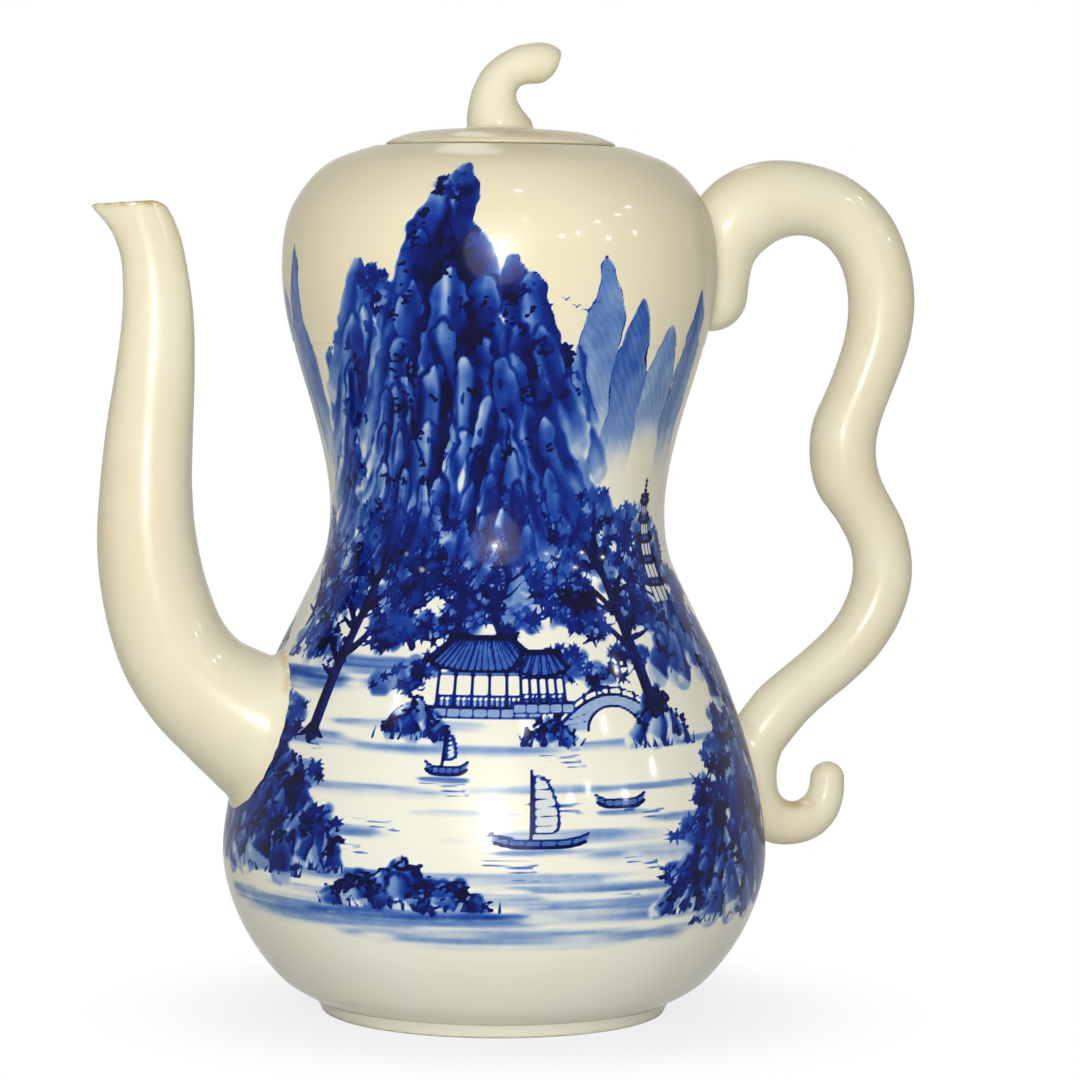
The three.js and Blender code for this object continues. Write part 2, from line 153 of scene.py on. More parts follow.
# Ribs give the x and height of both sides of a bend, the left side of the run first.
TAIL_RIBS = [
    (66.7, 54.0, 55.0, 58.8), (66.77, 49.9, 54.4, 50.2), (67.63, 47.6, 57.9, 41.2),
    (69.29, 46.23, 64.7, 36.6), (71.06, 45.82, 71.2, 35.9), (72.76, 46.26, 77.0, 37.7),
    (74.1, 47.29, 81.0, 41.6), (74.88, 48.75, 82.85, 46.55), (75.23, 50.79, 83.1, 51.2),
]
STALK_RIBS = [
    (-7.6, 199.7, 7.3, 199.7), (-7.7, 201.2, 7.0, 200.9), (-7.6, 203.0, 5.9, 202.5),
    (-7.2, 205.4, 4.5, 204.2), (-6.4, 208.5, 3.55, 205.9), (-4.3, 212.5, 3.4, 207.3),
    (-1.2, 215.5, 3.9, 208.5), (2.6, 217.7, 5.1, 209.35), (6.2, 218.75, 7.0, 209.65),
    (9.4, 218.95, 8.7, 209.75), (11.8, 218.45, 10.0, 210.15), (13.45, 217.4, 11.1, 211.1),
]
# The cut end: share of the last rib's radius, and how far it bulges.
STALK_END_DOME = [(1.0, 0.0), (0.96, 0.14), (0.85, 0.35), (0.45, 0.65), (0.12, 0.74)]
STALK_FILLET = 0.9

LID_R = 25.8
LID_UNDERSIDE_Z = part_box("lid_disc")[0].z / MM
LID_EDGE_HEIGHT = 1.2
LID_TOP_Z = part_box("lid_disc")[1].z / MM
LID_DOME = [(24.3, 196.9), (20.5, 198.2), (16.0, 198.9)]
VENT_R = 1.5
VENT_OFFSET_Y = 11.5
COLLAR_OUTER_R = 17.0
COLLAR_INNER_R = 14.4
COLLAR_DEPTH = 6.0

# Luted pieces reach into each other by this much, so that no gap shows.
OVERLAP = 0.05
SLIP_SIDE_GAIN = 1.4
# Tight bends are eased where the rings stand closer than this share of their usual distance.
BEND_PASSES = 90
CROWDED_BELOW = 1.2

# How sharp an edge has to be, in degrees, to stay an edge under the glaze.
TURNED_CREASE = 38.0
STRAND_CREASE = 60.0
STALK_CREASE = 50.0
STRAND_SIDES = 72
# In metres: points this close are joined, and edges shorter than this are dissolved.
JOIN_WITHIN = 2e-6
SHORTEST_EDGE = 1e-6
# How much of the texture plane a hidden row takes, beside one that is seen.
HIDDEN_SHARE = 0.3

# Where the glaze is thin and brown: at the spout's rim, along the slip and on the stalk's cut end.
# The same brown darkens the tail's hollow, and on the lid's slope it is painted shade.
RIM_STAIN_DEPTH = 1.1
LUTING_STAIN = 0.35
LUTING_STAIN_WIDTH = 0.5
SPOUT_STAIN = 0.5
SPOUT_STAIN_WIDTH = 0.9
SPOUT_STAIN_OUT = 0.2
SPOUT_STAIN_FROM_Z = 74.0
HOLLOW_BROWN = 0.9
HOLLOW_BROWN_REACH = (3.4, 1.2)
# Painted shade: a faint brown over the lid's slope, from this radius outwards.
LID_PAINTED_SHADE = 0.14
LID_SHADE_FROM_R = 12.0
LID_SHADE_SPREAD = 5.0
CUT_STAIN = 0.25
CUT_STAIN_X = 13.4
CUT_STAIN_WIDTH = 0.8

# The painting's plane: the pot unrolled at this radius, with the seam at the back.
CANVAS_RADIUS = 48.0
CANVAS_CELL = 0.3
CANVAS_TOP = 198.0
FRONT_LONGITUDE = -14.0
SEAM_LONGITUDE = FRONT_LONGITUDE - 180.0
# The coarser columns reach this many degrees to both sides of the seam.
HALF_BACK = 85.0
PAINTED_RINGS = ("lower_bowl", "lower_shoulder", "upper_bowl", "upper_shoulder")


# Settings

class WINEPOT_PG_glaze(bpy.types.PropertyGroup):
    ivory: FloatVectorProperty(
        name="Ivory glaze", description="Glaze over the spout, handle and lid",
        subtype="COLOR", size=3, min=0.0, max=1.0, default=(0.775, 0.715, 0.525))
    ivory_thick: FloatVectorProperty(
        name="Ivory glaze, thick", description="Where the ivory glaze has pooled",
        subtype="COLOR", size=3, min=0.0, max=1.0, default=(0.80, 0.76, 0.59))
    white: FloatVectorProperty(
        name="Body glaze", description="Clear glaze over the white body",
        subtype="COLOR", size=3, min=0.0, max=1.0, default=(0.80, 0.79, 0.68))
    white_thick: FloatVectorProperty(
        name="Body glaze, thick", description="Where the body's glaze has pooled",
        subtype="COLOR", size=3, min=0.0, max=1.0, default=(0.80, 0.81, 0.73))
    # The same brown is also painted shade on the lid's slope.
    scorched_and_shade: FloatVectorProperty(
        name="Thin glaze and painted shade", description="Edges where the glaze ran thin and fired brown",
        subtype="COLOR", size=3, min=0.0, max=1.0, default=(0.52, 0.36, 0.16))
    clay: FloatVectorProperty(
        name="Bare clay", description="The unglazed foot",
        subtype="COLOR", size=3, min=0.0, max=1.0, default=(0.77, 0.75, 0.65))
    roughness: FloatProperty(
        name="Roughness", description="Roughness of the fired glaze",
        subtype="FACTOR", min=0.0, max=1.0, default=0.10)


class WINEPOT_PG_mesh(bpy.types.PropertyGroup):
    front_columns: IntProperty(
        name="Front columns", description="Columns of the body mesh over the painted half",
        min=60, max=900, default=440)
    back_columns: IntProperty(
        name="Back columns", description="Columns of the body mesh over the back half",
        min=40, max=600, default=200)
    row: FloatProperty(
        name="Row height", description="Height of one row of the body mesh",
        subtype="DISTANCE", unit="LENGTH", default=0.00052)
    slip: FloatProperty(
        name="Slip fillet", description="Radius of the slip where a piece is luted on",
        subtype="DISTANCE", unit="LENGTH", default=0.0022)


class WINEPOT_PG_camera(bpy.types.PropertyGroup):
    azimuth: FloatProperty(
        name="Azimuth", description="Turn of the camera about the pot",
        subtype="ANGLE", unit="ROTATION", default=math.radians(FRONT_LONGITUDE))
    distance: FloatProperty(
        name="Distance", description="Level distance from the pot's axis",
        subtype="DISTANCE", unit="LENGTH", default=0.921)
    height: FloatProperty(
        name="Height", description="Height above the table",
        subtype="DISTANCE", unit="LENGTH", default=0.1632)
    aside: FloatProperty(
        name="Aside", description="How far the camera stands to the right of the axis",
        subtype="DISTANCE", unit="LENGTH", default=0.0097)
    pitch: FloatProperty(
        name="Pitch", description="How far the camera looks down",
        subtype="ANGLE", unit="ROTATION", default=math.radians(3.5))
    roll: FloatProperty(
        name="Roll", description="Turn of the camera about its own axis",
        subtype="ANGLE", unit="ROTATION", default=math.radians(0.55))
    lens: FloatProperty(
        name="Lens", description="Focal length on a 36 mm sensor, in millimetres",
        min=20.0, max=400.0, default=135.9)


# Outlines and runs

def unit(value):
    """Keeps values between 0 and 1."""
    return np.clip(value, 0, 1)


def catmull_rom(points, steps):
    """Points along the uniform Catmull-Rom curve through the given ones."""
    points = np.array(points, float)
    last = len(points) - 1
    along = np.linspace(0.0, last, last * steps + 1)
    span = np.minimum(along.astype(int), last - 1)
    t = (along - span)[:, None]
    before = points[np.maximum(span - 1, 0)]
    here = points[span]
    after = points[span + 1]
    beyond = points[np.minimum(span + 2, last)]
    leave = (after - before) / 2
    arrive = (beyond - here) / 2
    cubic = 2 * here - 2 * after + leave + arrive
    square = -3 * here + 3 * after - 2 * leave - arrive
    return cubic * t ** 3 + square * t ** 2 + leave * t + here


OUTLINE = catmull_rom(BODY_OUTLINE, 60)
# The seam that shows on the upper bulb: the ring above stands a hair proud of a faint groove.
RIDGE_HEIGHT = 0.10
RIDGE_SPREAD = 0.55
GROOVE_DEPTH = 0.14
GROOVE_DROP = 0.9


def plain_radius(height):
    return np.interp(height, OUTLINE[:, 1], OUTLINE[:, 0])


def body_radius(height):
    above = np.exp(-((height - UPPER_SEAM_Z) / RIDGE_SPREAD) ** 2)
    below = np.exp(-((height - UPPER_SEAM_Z + GROOVE_DROP) / RIDGE_SPREAD) ** 2)
    return plain_radius(height) + RIDGE_HEIGHT * above - GROOVE_DEPTH * below


def body_slope(height):
    reach = 0.5
    return (plain_radius(height + reach) - plain_radius(height - reach)) / (2 * reach)


def body_distance(points):
    """Distance outside the body's surface, and the surface's outward normal."""
    across = points[..., 0] - AXIS_X
    radius = np.maximum(np.hypot(across, points[..., 1]), 1e-6)
    slope = body_slope(points[..., 2])
    tilt = np.sqrt(1 + slope ** 2)
    distance = (radius - plain_radius(points[..., 2])) / tilt
    normal = np.stack([
        across / radius / tilt, points[..., 1] / radius / tilt, -slope / tilt], axis=-1)
    return distance, normal


def outline_rows(low, high, row):
    """Radius and height of evenly spaced rows on the body's outside between two heights."""
    inside = (OUTLINE[:, 1] > low) & (OUTLINE[:, 1] < high)
    heights = np.concatenate([[low], OUTLINE[inside, 1], [high]])
    gaps = np.hypot(np.diff(plain_radius(heights)), np.diff(heights))
    length = np.concatenate([[0], np.cumsum(gaps)])
    count = max(2, int(round(length[-1] / row)) + 1)
    even = np.interp(np.linspace(0, length[-1], count), length, heights)
    return np.column_stack([body_radius(even), even])


def inner_section(low, high):
    """The inside of the wall between two heights, from the top down."""
    slope = body_slope(OUTLINE[:, 1])
    tilt = np.sqrt(1 + slope ** 2)
    radii = OUTLINE[:, 0] - WALL / tilt
    heights = OUTLINE[:, 1] + WALL * slope / tilt
    order = np.argsort(heights)
    count = max(2, int(round((high - low) / INNER_ROW)) + 1)
    levels = np.linspace(low, high, count)
    section = np.column_stack([np.interp(levels, heights[order], radii[order]), levels])
    return section[::-1]


def run_through(stations, steps):
    """Rings along the centripetal Catmull-Rom run: x, z, radius, angle and reach of the lip."""
    points = np.array([(x, radius, z) for x, z, radius in stations], float)
    padded = np.vstack([2 * points[0] - points[1], points, 2 * points[-1] - points[-2]])
    rings = []
    spans = len(points) - 1
    for span in range(spans):
        corners = padded[span:span + 4]
        gaps = np.maximum(np.linalg.norm(np.diff(corners, axis=0), axis=1) ** 0.5, 1e-4)
        leave = gaps[1] * (
            (corners[1] - corners[0]) / gaps[0]
            - (corners[2] - corners[0]) / (gaps[0] + gaps[1])
            + (corners[2] - corners[1]) / gaps[1])
        arrive = gaps[1] * (
            (corners[2] - corners[1]) / gaps[1]
            - (corners[3] - corners[1]) / (gaps[1] + gaps[2])
            + (corners[3] - corners[2]) / gaps[2])
        cubic = 2 * corners[1] - 2 * corners[2] + leave + arrive
        square = -3 * corners[1] + 3 * corners[2] - 2 * leave - arrive
        last_step = steps + 1 if span == spans - 1 else steps
        for step in range(last_step):
            t = step / steps
            place = cubic * t ** 3 + square * t ** 2 + leave * t + corners[1]
            heading = 3 * cubic * t ** 2 + 2 * square * t + leave
            angle = math.atan2(-heading[0], heading[2])
            rings.append([place[0], place[2], place[1], angle, 0.0])
    return np.array(rings)


def rings_across(ribs, steps):
    """Rings that span the ribs of a bend."""
    ribs = catmull_rom(ribs, steps)
    across = ribs[:, 2:] - ribs[:, :2]
    middle = (ribs[:, 2:] + ribs[:, :2]) / 2
    return np.column_stack([
        middle, np.hypot(across[:, 0], across[:, 1]) / 2,
        np.arctan2(across[:, 1], across[:, 0]), np.zeros(len(ribs))])


def round_end(ring, direction, count):
    """Rings that close a run with a half ball. The last one stays a hair short of a point."""
    turn = (math.pi / 2) * np.arange(1, count + 1) / (count + 0.15)
    reach = direction * ring[2] * np.sin(turn)
    rings = np.tile(ring, (count, 1))
    rings[:, 0] -= math.sin(ring[3]) * reach
    rings[:, 1] += math.cos(ring[3]) * reach
    rings[:, 2] *= np.cos(turn)
    return rings


def ring_points(rings, sides, depth=1.0):
    """Points of each ring, in millimetres in the pot's frame. Depth is its share along Y."""
    turn = 2 * np.pi * np.arange(sides) / sides
    lip = rings[:, 4:5] * np.maximum(0, np.cos(turn)) ** SPOUT_LIP_SHARPNESS
    across = (rings[:, 2:3] + lip) * np.cos(turn)
    return np.stack([
        AXIS_X + rings[:, 0:1] + across * np.cos(rings[:, 3:4]),
        rings[:, 2:3] * depth * np.sin(turn),
        rings[:, 1:2] + across * np.sin(rings[:, 3:4])], axis=-1)


# Meshes

def fired(node):
    """The name of the piece that stands in for a node's solid."""
    return "fired_" + node


def new_object(name, data):
    """An object in the scene's own collection."""
    made = bpy.data.objects.new(name, data)
    bpy.context.scene.collection.objects.link(made)
    return made


def finish_piece(name, vertices, faces, body, corner_uv=None, crease=TURNED_CREASE):
    """Makes a closed, smooth piece from millimetres, and ties it to the frame."""
    vertices = np.asarray(vertices, float)
    if signed_volume(vertices, faces) < 0:
        faces = [face[::-1] for face in faces]
        if corner_uv is not None:
            corner_uv = [uv[::-1] for uv in corner_uv]
    mesh = bpy.data.meshes.new(fired(name))
    mesh.from_pydata((vertices * MM).tolist(), [], faces)
    if corner_uv is not None:
        layer = mesh.uv_layers.new(name="OFBake")
        flat = np.array([pair for uv in corner_uv for pair in uv], np.float32)
        layer.data.foreach_set("uv", flat.ravel())
    mesh.shade_smooth()
    mesh.set_sharp_from_angle(angle=math.radians(crease))
    piece = new_object(fired(name), mesh)
    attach(piece, body)
    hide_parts(name)
    return piece


def signed_volume(vertices, faces):
    total = 0.0
    for size in (3, 4):
        corners = np.array([face for face in faces if len(face) == size], int)
        if not len(corners):
            continue
        for k in range(1, size - 1):
            a, b, c = (vertices[corners[:, j]] for j in (0, k, k + 1))
            total += np.einsum("ij,ij->", a, np.cross(b, c))
    return total


def band_faces(rows, columns, is_closed):
    """Quads between rows of points that run round. The last row may join the first."""
    faces = []
    for row in range(rows if is_closed else rows - 1):
        upper = (row + 1) % rows
        for column in range(columns):
            right = (column + 1) % columns
            faces.append((
                row * columns + column, row * columns + right,
                upper * columns + right, upper * columns + column))
    return faces


def cap_faces(rows, columns):
    """Triangles from the first and last row to the two points that follow all the rows."""
    pole = rows * columns
    last = (rows - 1) * columns
    faces = []
    for column in range(columns):
        right = (column + 1) % columns
        faces.append((pole, right, column))
        faces.append((pole + 1, last + column, last + right))
    return faces


def turned_piece(name, loop, longitudes, body, shown=None):
    """A piece turned about the pot's axis from a loop of radius and height.

    A loop that starts and ends on the axis is closed by its two poles. Shown gives the first
    row and the end of the rows that face out, which take most of the texture plane.
    """
    loop = np.asarray(loop, float)
    has_poles = loop[0, 0] == 0 and loop[-1, 0] == 0
    rings = loop[1:-1] if has_poles else loop
    rows = len(rings)
    columns = len(longitudes)
    turn = np.radians(longitudes)
    vertices = np.stack([
        AXIS_X + rings[:, 0:1] * np.sin(turn),
        -rings[:, 0:1] * np.cos(turn),
        np.repeat(rings[:, 1:2], columns, axis=1)], axis=-1).reshape(-1, 3)
    closing = rings if has_poles else np.vstack([rings, rings[:1]])
    step = np.hypot(*np.diff(closing, axis=0).T)
    if shown is not None:
        row = np.arange(len(step))
        step = step * np.where((row >= shown[0]) & (row < shown[1]), 1.0, HIDDEN_SHARE)
    v = np.concatenate([[0], np.cumsum(step)]) / step.sum()
    u = np.append((longitudes - longitudes[0]) / 360.0, 1.0)
    faces = band_faces(rows, columns, not has_poles)
    corner_uv = [
        ((u[column], v[row]), (u[column + 1], v[row]),
         (u[column + 1], v[row + 1]), (u[column], v[row + 1]))
        for row in range(len(step)) for column in range(columns)]
    if has_poles:
        poles = [[AXIS_X, 0.0, loop[0, 1]], [AXIS_X, 0.0, loop[-1, 1]]]
        vertices = np.vstack([vertices, poles])
        faces += cap_faces(rows, columns)
        for column in range(columns):
            corner_uv.append(((u[column], v[0]), (u[column + 1], v[0]), (u[column], v[0])))
            corner_uv.append(((u[column], v[-1]), (u[column], v[-1]), (u[column + 1], v[-1])))
    return finish_piece(name, vertices, faces, body, corner_uv)


def lofted_piece(name, points, body, is_sleeve=False, crease=STRAND_CREASE):
    """Joins rings of points into one closed piece, capped at both ends unless a sleeve."""
    rows, columns = points.shape[:2]
    vertices = points.reshape(-1, 3)
    faces = band_faces(rows, columns, is_sleeve)
    if not is_sleeve:
        vertices = np.vstack([vertices, points[0].mean(axis=0), points[-1].mean(axis=0)])
        faces += cap_faces(rows, columns)
    piece = finish_piece(name, vertices, faces, body, crease=crease)
    merge_close(piece)
    return piece


def merge_close(piece):
    """Joins points that lie on each other, so that no face has no area."""
    work = bmesh.new()
    work.from_mesh(piece.data)
    bmesh.ops.remove_doubles(work, verts=work.verts, dist=JOIN_WITHIN)
    bmesh.ops.dissolve_degenerate(work, edges=work.edges, dist=SHORTEST_EDGE)
    work.to_mesh(piece.data)
    work.free()


def drill(piece, cutter):
    """Cuts one mesh out of a piece, and removes the cutter."""
    cut = piece.modifiers.new("drill", "BOOLEAN")
    cut.operation = "DIFFERENCE"
    cut.solver = "EXACT"
    cut.object = cutter
    bpy.context.view_layer.update()
    graph = bpy.context.evaluated_depsgraph_get()
    drilled = bpy.data.meshes.new_from_object(piece.evaluated_get(graph))
    piece.modifiers.clear()
    piece.data = drilled
    drilled.set_sharp_from_angle(angle=math.radians(TURNED_CREASE))
    bpy.data.objects.remove(cutter)


def set_values(piece, name, values):
    attribute = piece.data.attributes.new(name, "FLOAT", "POINT")
    attribute.data.foreach_set("value", np.asarray(values, np.float32))


def piece_points(piece):
    flat = np.zeros(len(piece.data.vertices) * 3, np.float32)
    piece.data.vertices.foreach_get("co", flat)
    return flat.reshape(-1, 3).astype(float) / MM


def radius_and_height(piece):
    """Each point's distance from the pot's axis, and its height."""
    points = piece_points(piece)
    return np.hypot(points[:, 0] - AXIS_X, points[:, 1]), points[:, 2]


# Slip and joints

def settled(points, slip, depth):
    """Lays a strand on the body: its hidden side stays in the wall, and slip fills the angle."""
    around = np.roll(points, -1, axis=1) - np.roll(points, 1, axis=1)
    along = np.gradient(points, axis=0)
    outward = np.cross(around, along)
    size = np.linalg.norm(outward, axis=-1, keepdims=True)
    outward = outward / np.maximum(size, 1e-9)
    centre = points.mean(axis=1, keepdims=True)
    facing = np.sign(np.einsum("ijk,ijk->ij", outward, points - centre))[..., None]
    outward = outward * np.where(facing == 0, 1, facing)
    distance, normal = body_distance(points)
    level = outward - np.einsum("ijk,ijk->ij", outward, normal)[..., None] * normal
    lean = np.linalg.norm(level, axis=-1, keepdims=True)
    level = level / np.maximum(lean, 1e-6)
    near = unit(1 - distance / slip)
    # Slip lies where the strand's side stands up from the body, not on its back.
    side_share = unit(lean[..., 0] * SLIP_SIDE_GAIN)
    push = slip * (1 - np.sqrt(1 - near ** 2)) * side_share
    moved = points + level * push[..., None]
    distance, normal = body_distance(moved)
    sunk = np.maximum(0, -depth - distance)
    return moved + normal * sunk[..., None]


def ended_in_wall(points, depth):
    """Stops each line of a tube where it reaches a depth in the wall. Rings start inside."""
    distance, _ = body_distance(points)
    ended = points.copy()
    for side in range(points.shape[1]):
        first = int(np.argmax(distance[:, side] > -depth))
        if first == 0:
            continue
        low, high = distance[first - 1, side], distance[first, side]
        share = (-depth - low) / (high - low)
        crossing = points[first - 1, side] * (1 - share) + points[first, side] * share
        ended[:first, side] = crossing
    return ended


# Body

def body_longitudes(settings):
    """Columns start at the back seam, and lie closest together over the painted half."""
    back = np.linspace(0, HALF_BACK, settings.back_columns // 2, endpoint=False)
    front = np.linspace(HALF_BACK, 360 - HALF_BACK, settings.front_columns, endpoint=False)
    after = front[-1] + (front[1] - front[0]) + back
    return np.concatenate([back, front, after]) + SEAM_LONGITUDE


def ring_section(name, low, high, longitudes, row):
    outside = outline_rows(low, high, row)
    loop = np.vstack([outside, inner_section(low, high)])
    return turned_piece(name, loop, longitudes, "pot", (0, len(outside) - 1))


def lower_bowl(longitudes, row):
    low = BODY_OUTLINE[0][1]
    outside = outline_rows(low, LOWER_SEAM_Z, row)
    inside = inner_section(FLOOR_TOP_Z + WALL, LOWER_SEAM_Z)
    edge = low - FOOT_INSET
    well = FOOT_INNER_R - FOOT_INSET
    under = [(0.0, FLOOR_UNDERSIDE_Z), (well - 2.5, FLOOR_UNDERSIDE_Z),
             (well - 1.0, FLOOR_UNDERSIDE_Z - 0.4), (well, edge)]
    skirt = [(FOOT_TOP_R - 0.6, edge), (FOOT_TOP_R, low - 0.25)]
    floor = [(FLOOR_CORNER_R + 3.0, FLOOR_TOP_Z + 0.9), (FLOOR_CORNER_R, FLOOR_TOP_Z),
             (0.0, FLOOR_TOP_Z)]
    loop = np.vstack([under, skirt, outside, inside, floor])
    first = len(under) + len(skirt) - 1
    shown = (first, first + len(outside) - 1)
    return turned_piece("lower_bowl", loop, longitudes, "pot", shown)


def upper_shoulder(longitudes, row):
    outside = outline_rows(UPPER_SEAM_Z, OUTLINE[-1, 1], row)
    inside = inner_section(UPPER_SEAM_Z, SEAT_UNDER_Z)
    inside = inside[inside[:, 0] > SEAT_SEAM_R + 0.5]
    seam = [(SEAT_SEAM_R, SEAT_TOP_Z), (SEAT_SEAM_R, SEAT_UNDER_Z)]
    loop = np.vstack([outside, seam, inside])
    return turned_piece(
        "upper_shoulder", loop, longitudes, "pot", (0, len(outside) - 1))


def even_longitudes(count):
    return SEAM_LONGITUDE + 360.0 * np.arange(count) / count


def lid_seat():
    edge = 0.5
    loop = [
        (MOUTH_R, SEAT_UNDER_Z + edge), (MOUTH_R + edge, SEAT_UNDER_Z),
        (SEAT_SEAM_R, SEAT_UNDER_Z), (SEAT_SEAM_R, SEAT_TOP_Z),
        (MOUTH_R + 2 * edge, SEAT_TOP_Z), (MOUTH_R + 0.3 * edge, SEAT_TOP_Z - 0.3 * edge),
        (MOUTH_R, SEAT_TOP_Z - edge),
    ]
    return turned_piece("lid_seat", loop, even_longitudes(160), "pot")


def foot_ring():
    top = BODY_OUTLINE[0][1] - FOOT_SEAM
    loop = [
        (FOOT_INNER_R - FOOT_INSET, top), (FOOT_INNER_R, 0.6), (FOOT_INNER_R + 0.6, 0.0),
        (FOOT_OUTER_R - 0.7, 0.0), (FOOT_OUTER_R - 0.15, 0.25), (FOOT_OUTER_R + 0.1, 0.6),
        (FOOT_OUTER_R + 0.3, 1.1), (FOOT_TOP_R - 0.3, top - 0.4), (FOOT_TOP_R, top),
    ]
    piece = turned_piece("foot_ring", loop, even_longitudes(240), "pot")
    radius, height = radius_and_height(piece)
    set_values(piece, "thin_glaze_and_shade", (height < BARE_EDGE_Z) | (radius < BARE_RIM_R))
    return piece


# Spout, handle and tail

def spout_rings(steps):
    rings = run_through(SPOUT_STATIONS, steps)
    to_end = np.arange(len(rings))[::-1]
    near = unit(1 - to_end / (SPOUT_LIP_SPAN * steps))
    # The lip points away from the body, so each ring starts at that side.
    outer_side = rings[:, 3] + np.pi
    rings[:, 3] = outer_side + (SPOUT_MOUTH_ANGLE - outer_side) * near
    rings[:, 4] = SPOUT_LIP_REACH * np.minimum(near / SPOUT_LIP_FULL, 1) ** 3
    return rings


def channel_rings(rings):
    share = np.linspace(0, 1, len(rings))
    wall = SPOUT_WALL_BASE + (SPOUT_WALL_TIP - SPOUT_WALL_BASE) * share
    inner = rings.copy()
    inner[:, 2] -= wall
    return inner


def rounded_mouth(outer, inner):
    """Rings that round the spout's cut edge from its outside to its bore."""
    mouth = []
    for turn in np.linspace(0, np.pi, 9)[1:-1]:
        ring = (outer + inner) / 2 + (outer - inner) / 2 * math.cos(turn)
        ring[1] = outer[1] - MOUTH_ROUND + MOUTH_ROUND * math.sin(turn)
        mouth.append(ring)
    return np.array(mouth)


def spout_points(rings, sides):
    """Points of the spout's rings, slimmer from front to back above the bend."""
    rise = unit((rings[:, 1:2] - SLIM_FROM_Z) / (SLIM_TO_Z - SLIM_FROM_Z))
    return ring_points(rings, sides, 1 - SPOUT_SLIMNESS * rise ** 2 * (3 - 2 * rise))


def softened_mouth(points, mouth_z):
    """Rounds off the side of the mouth that faces the body."""
    sides = points.shape[1]
    facing = -np.cos(2 * np.pi * np.arange(sides) / sides)
    turn = unit((facing - MOUTH_LEVEL_SHARE) / (1 - MOUTH_LEVEL_SHARE))
    near = unit(1 - (mouth_z - points[..., 2]) / MOUTH_CORNER_REACH)
    points = points.copy()
    points[..., 2] -= MOUTH_CORNER * turn ** 2 * near ** 2
    return points


def spout(slip):
    rings = spout_rings(14)
    inner = channel_rings(rings)
    tip = rings[-1].copy()
    tip_inner = inner[-1].copy()
    rings[-1, 1] -= MOUTH_ROUND
    inner[-1, 1] -= MOUTH_ROUND
    outside = settled(spout_points(rings, STRAND_SIDES), slip, DEEP_INSIDE)
    outside = ended_in_wall(outside, WALL / 2)
    inside = ended_in_wall(spout_points(inner, STRAND_SIDES), WALL + OVERLAP)
    mouth = spout_points(rounded_mouth(tip, tip_inner), STRAND_SIDES)
    points = softened_mouth(np.concatenate([outside, mouth, inside[::-1]]), tip[1])
    piece = lofted_piece("spout", points, "pot", is_sleeve=True)
    place = piece_points(piece)
    rim = np.exp(-((tip[1] - place[:, 2]) / RIM_STAIN_DEPTH) ** 2)
    distance, _ = body_distance(place)
    luted = unit(1 - np.abs(distance - SPOUT_STAIN_OUT) / SPOUT_STAIN_WIDTH)
    luted = SPOUT_STAIN * luted * (place[:, 2] > SPOUT_STAIN_FROM_Z)
    set_values(piece, "thin_glaze_and_shade", unit(rim + luted))
    return piece


def spout_bore():
    """The solid that opens the body's wall under the spout."""
    rings = channel_rings(spout_rings(4))[:BORE_RINGS]
    rings[:, 2] += BORE_CLEARANCE
    start = rings[0].copy()
    start[:2] += BORE_START
    points = spout_points(np.vstack([start, rings]), 48)
    rows, columns = points.shape[:2]
    vertices = points.reshape(-1, 3)
    faces = band_faces(rows, columns, False)
    is_inside_out = signed_volume(vertices, faces) < 0
    faces.append(tuple(range(columns))[::-1])
    faces.append(tuple(range((rows - 1) * columns, rows * columns)))
    if is_inside_out:
        faces = [face[::-1] for face in faces]
    mesh = bpy.data.meshes.new("spout_bore")
    mesh.from_pydata((vertices * MM).tolist(), [], faces)
    return new_object("spout_bore", mesh)


def eased_bends(points):
    """Rounds the inside of tight bends, where the rings crowd."""
    points = points.copy()
    usual = np.median(np.linalg.norm(np.diff(points, axis=0), axis=2))
    for _ in range(BEND_PASSES):
        steps = np.linalg.norm(np.diff(points, axis=0), axis=2)
        widest = np.maximum(steps[1:], steps[:-1]) / usual
        crowded = unit(CROWDED_BELOW - widest)[:, :, None]
        middles = (points[2:] + points[:-2]) / 2
        points[1:-1] += 0.5 * crowded * (middles - points[1:-1])
    return points


def handle(slip):
    rings = run_through(HANDLE_STATIONS, 10)
    bends = eased_bends(ring_points(rings, STRAND_SIDES))
    end = ring_points(round_end(rings[0], -1, 14)[::-1], STRAND_SIDES)
    points = settled(np.concatenate([end, bends]), slip, WALL / 2)
    piece = lofted_piece("handle", points, "pot")
    set_values(piece, "thin_glaze_and_shade", luting_stain(piece))
    return piece


def tail(slip):
    x, z, radius, angle, _ = run_through(HANDLE_STATIONS, 10)[-1]
    across = radius * math.cos(angle)
    rise = radius * math.sin(angle)
    joint = (x - across, z - rise, x + across, z + rise)
    rings = rings_across([joint] + TAIL_RIBS, 12)
    rings = np.vstack([rings, round_end(rings[-1], 1, 12)])
    points = settled(ring_points(rings, STRAND_SIDES), slip, WALL / 2)
    piece = lofted_piece("handle_tail", points, "pot")
    place = piece_points(piece)
    # The tail's hollow is darkened with the thin glaze's brown.
    hollow_x, hollow_z, _, _ = TAIL_RIBS[4]
    reach_x, reach_z = HOLLOW_BROWN_REACH
    away_x = (place[:, 0] - AXIS_X - hollow_x) / reach_x
    away_z = (place[:, 2] - hollow_z) / reach_z
    hollow = HOLLOW_BROWN * np.exp(-(away_x ** 2 + away_z ** 2))
    set_values(piece, "thin_glaze_and_shade", unit(luting_stain(piece) + hollow))
    return piece


def luting_stain(piece):
    distance, _ = body_distance(piece_points(piece))
    return LUTING_STAIN * unit(1 - np.abs(distance) / LUTING_STAIN_WIDTH)


# Lid

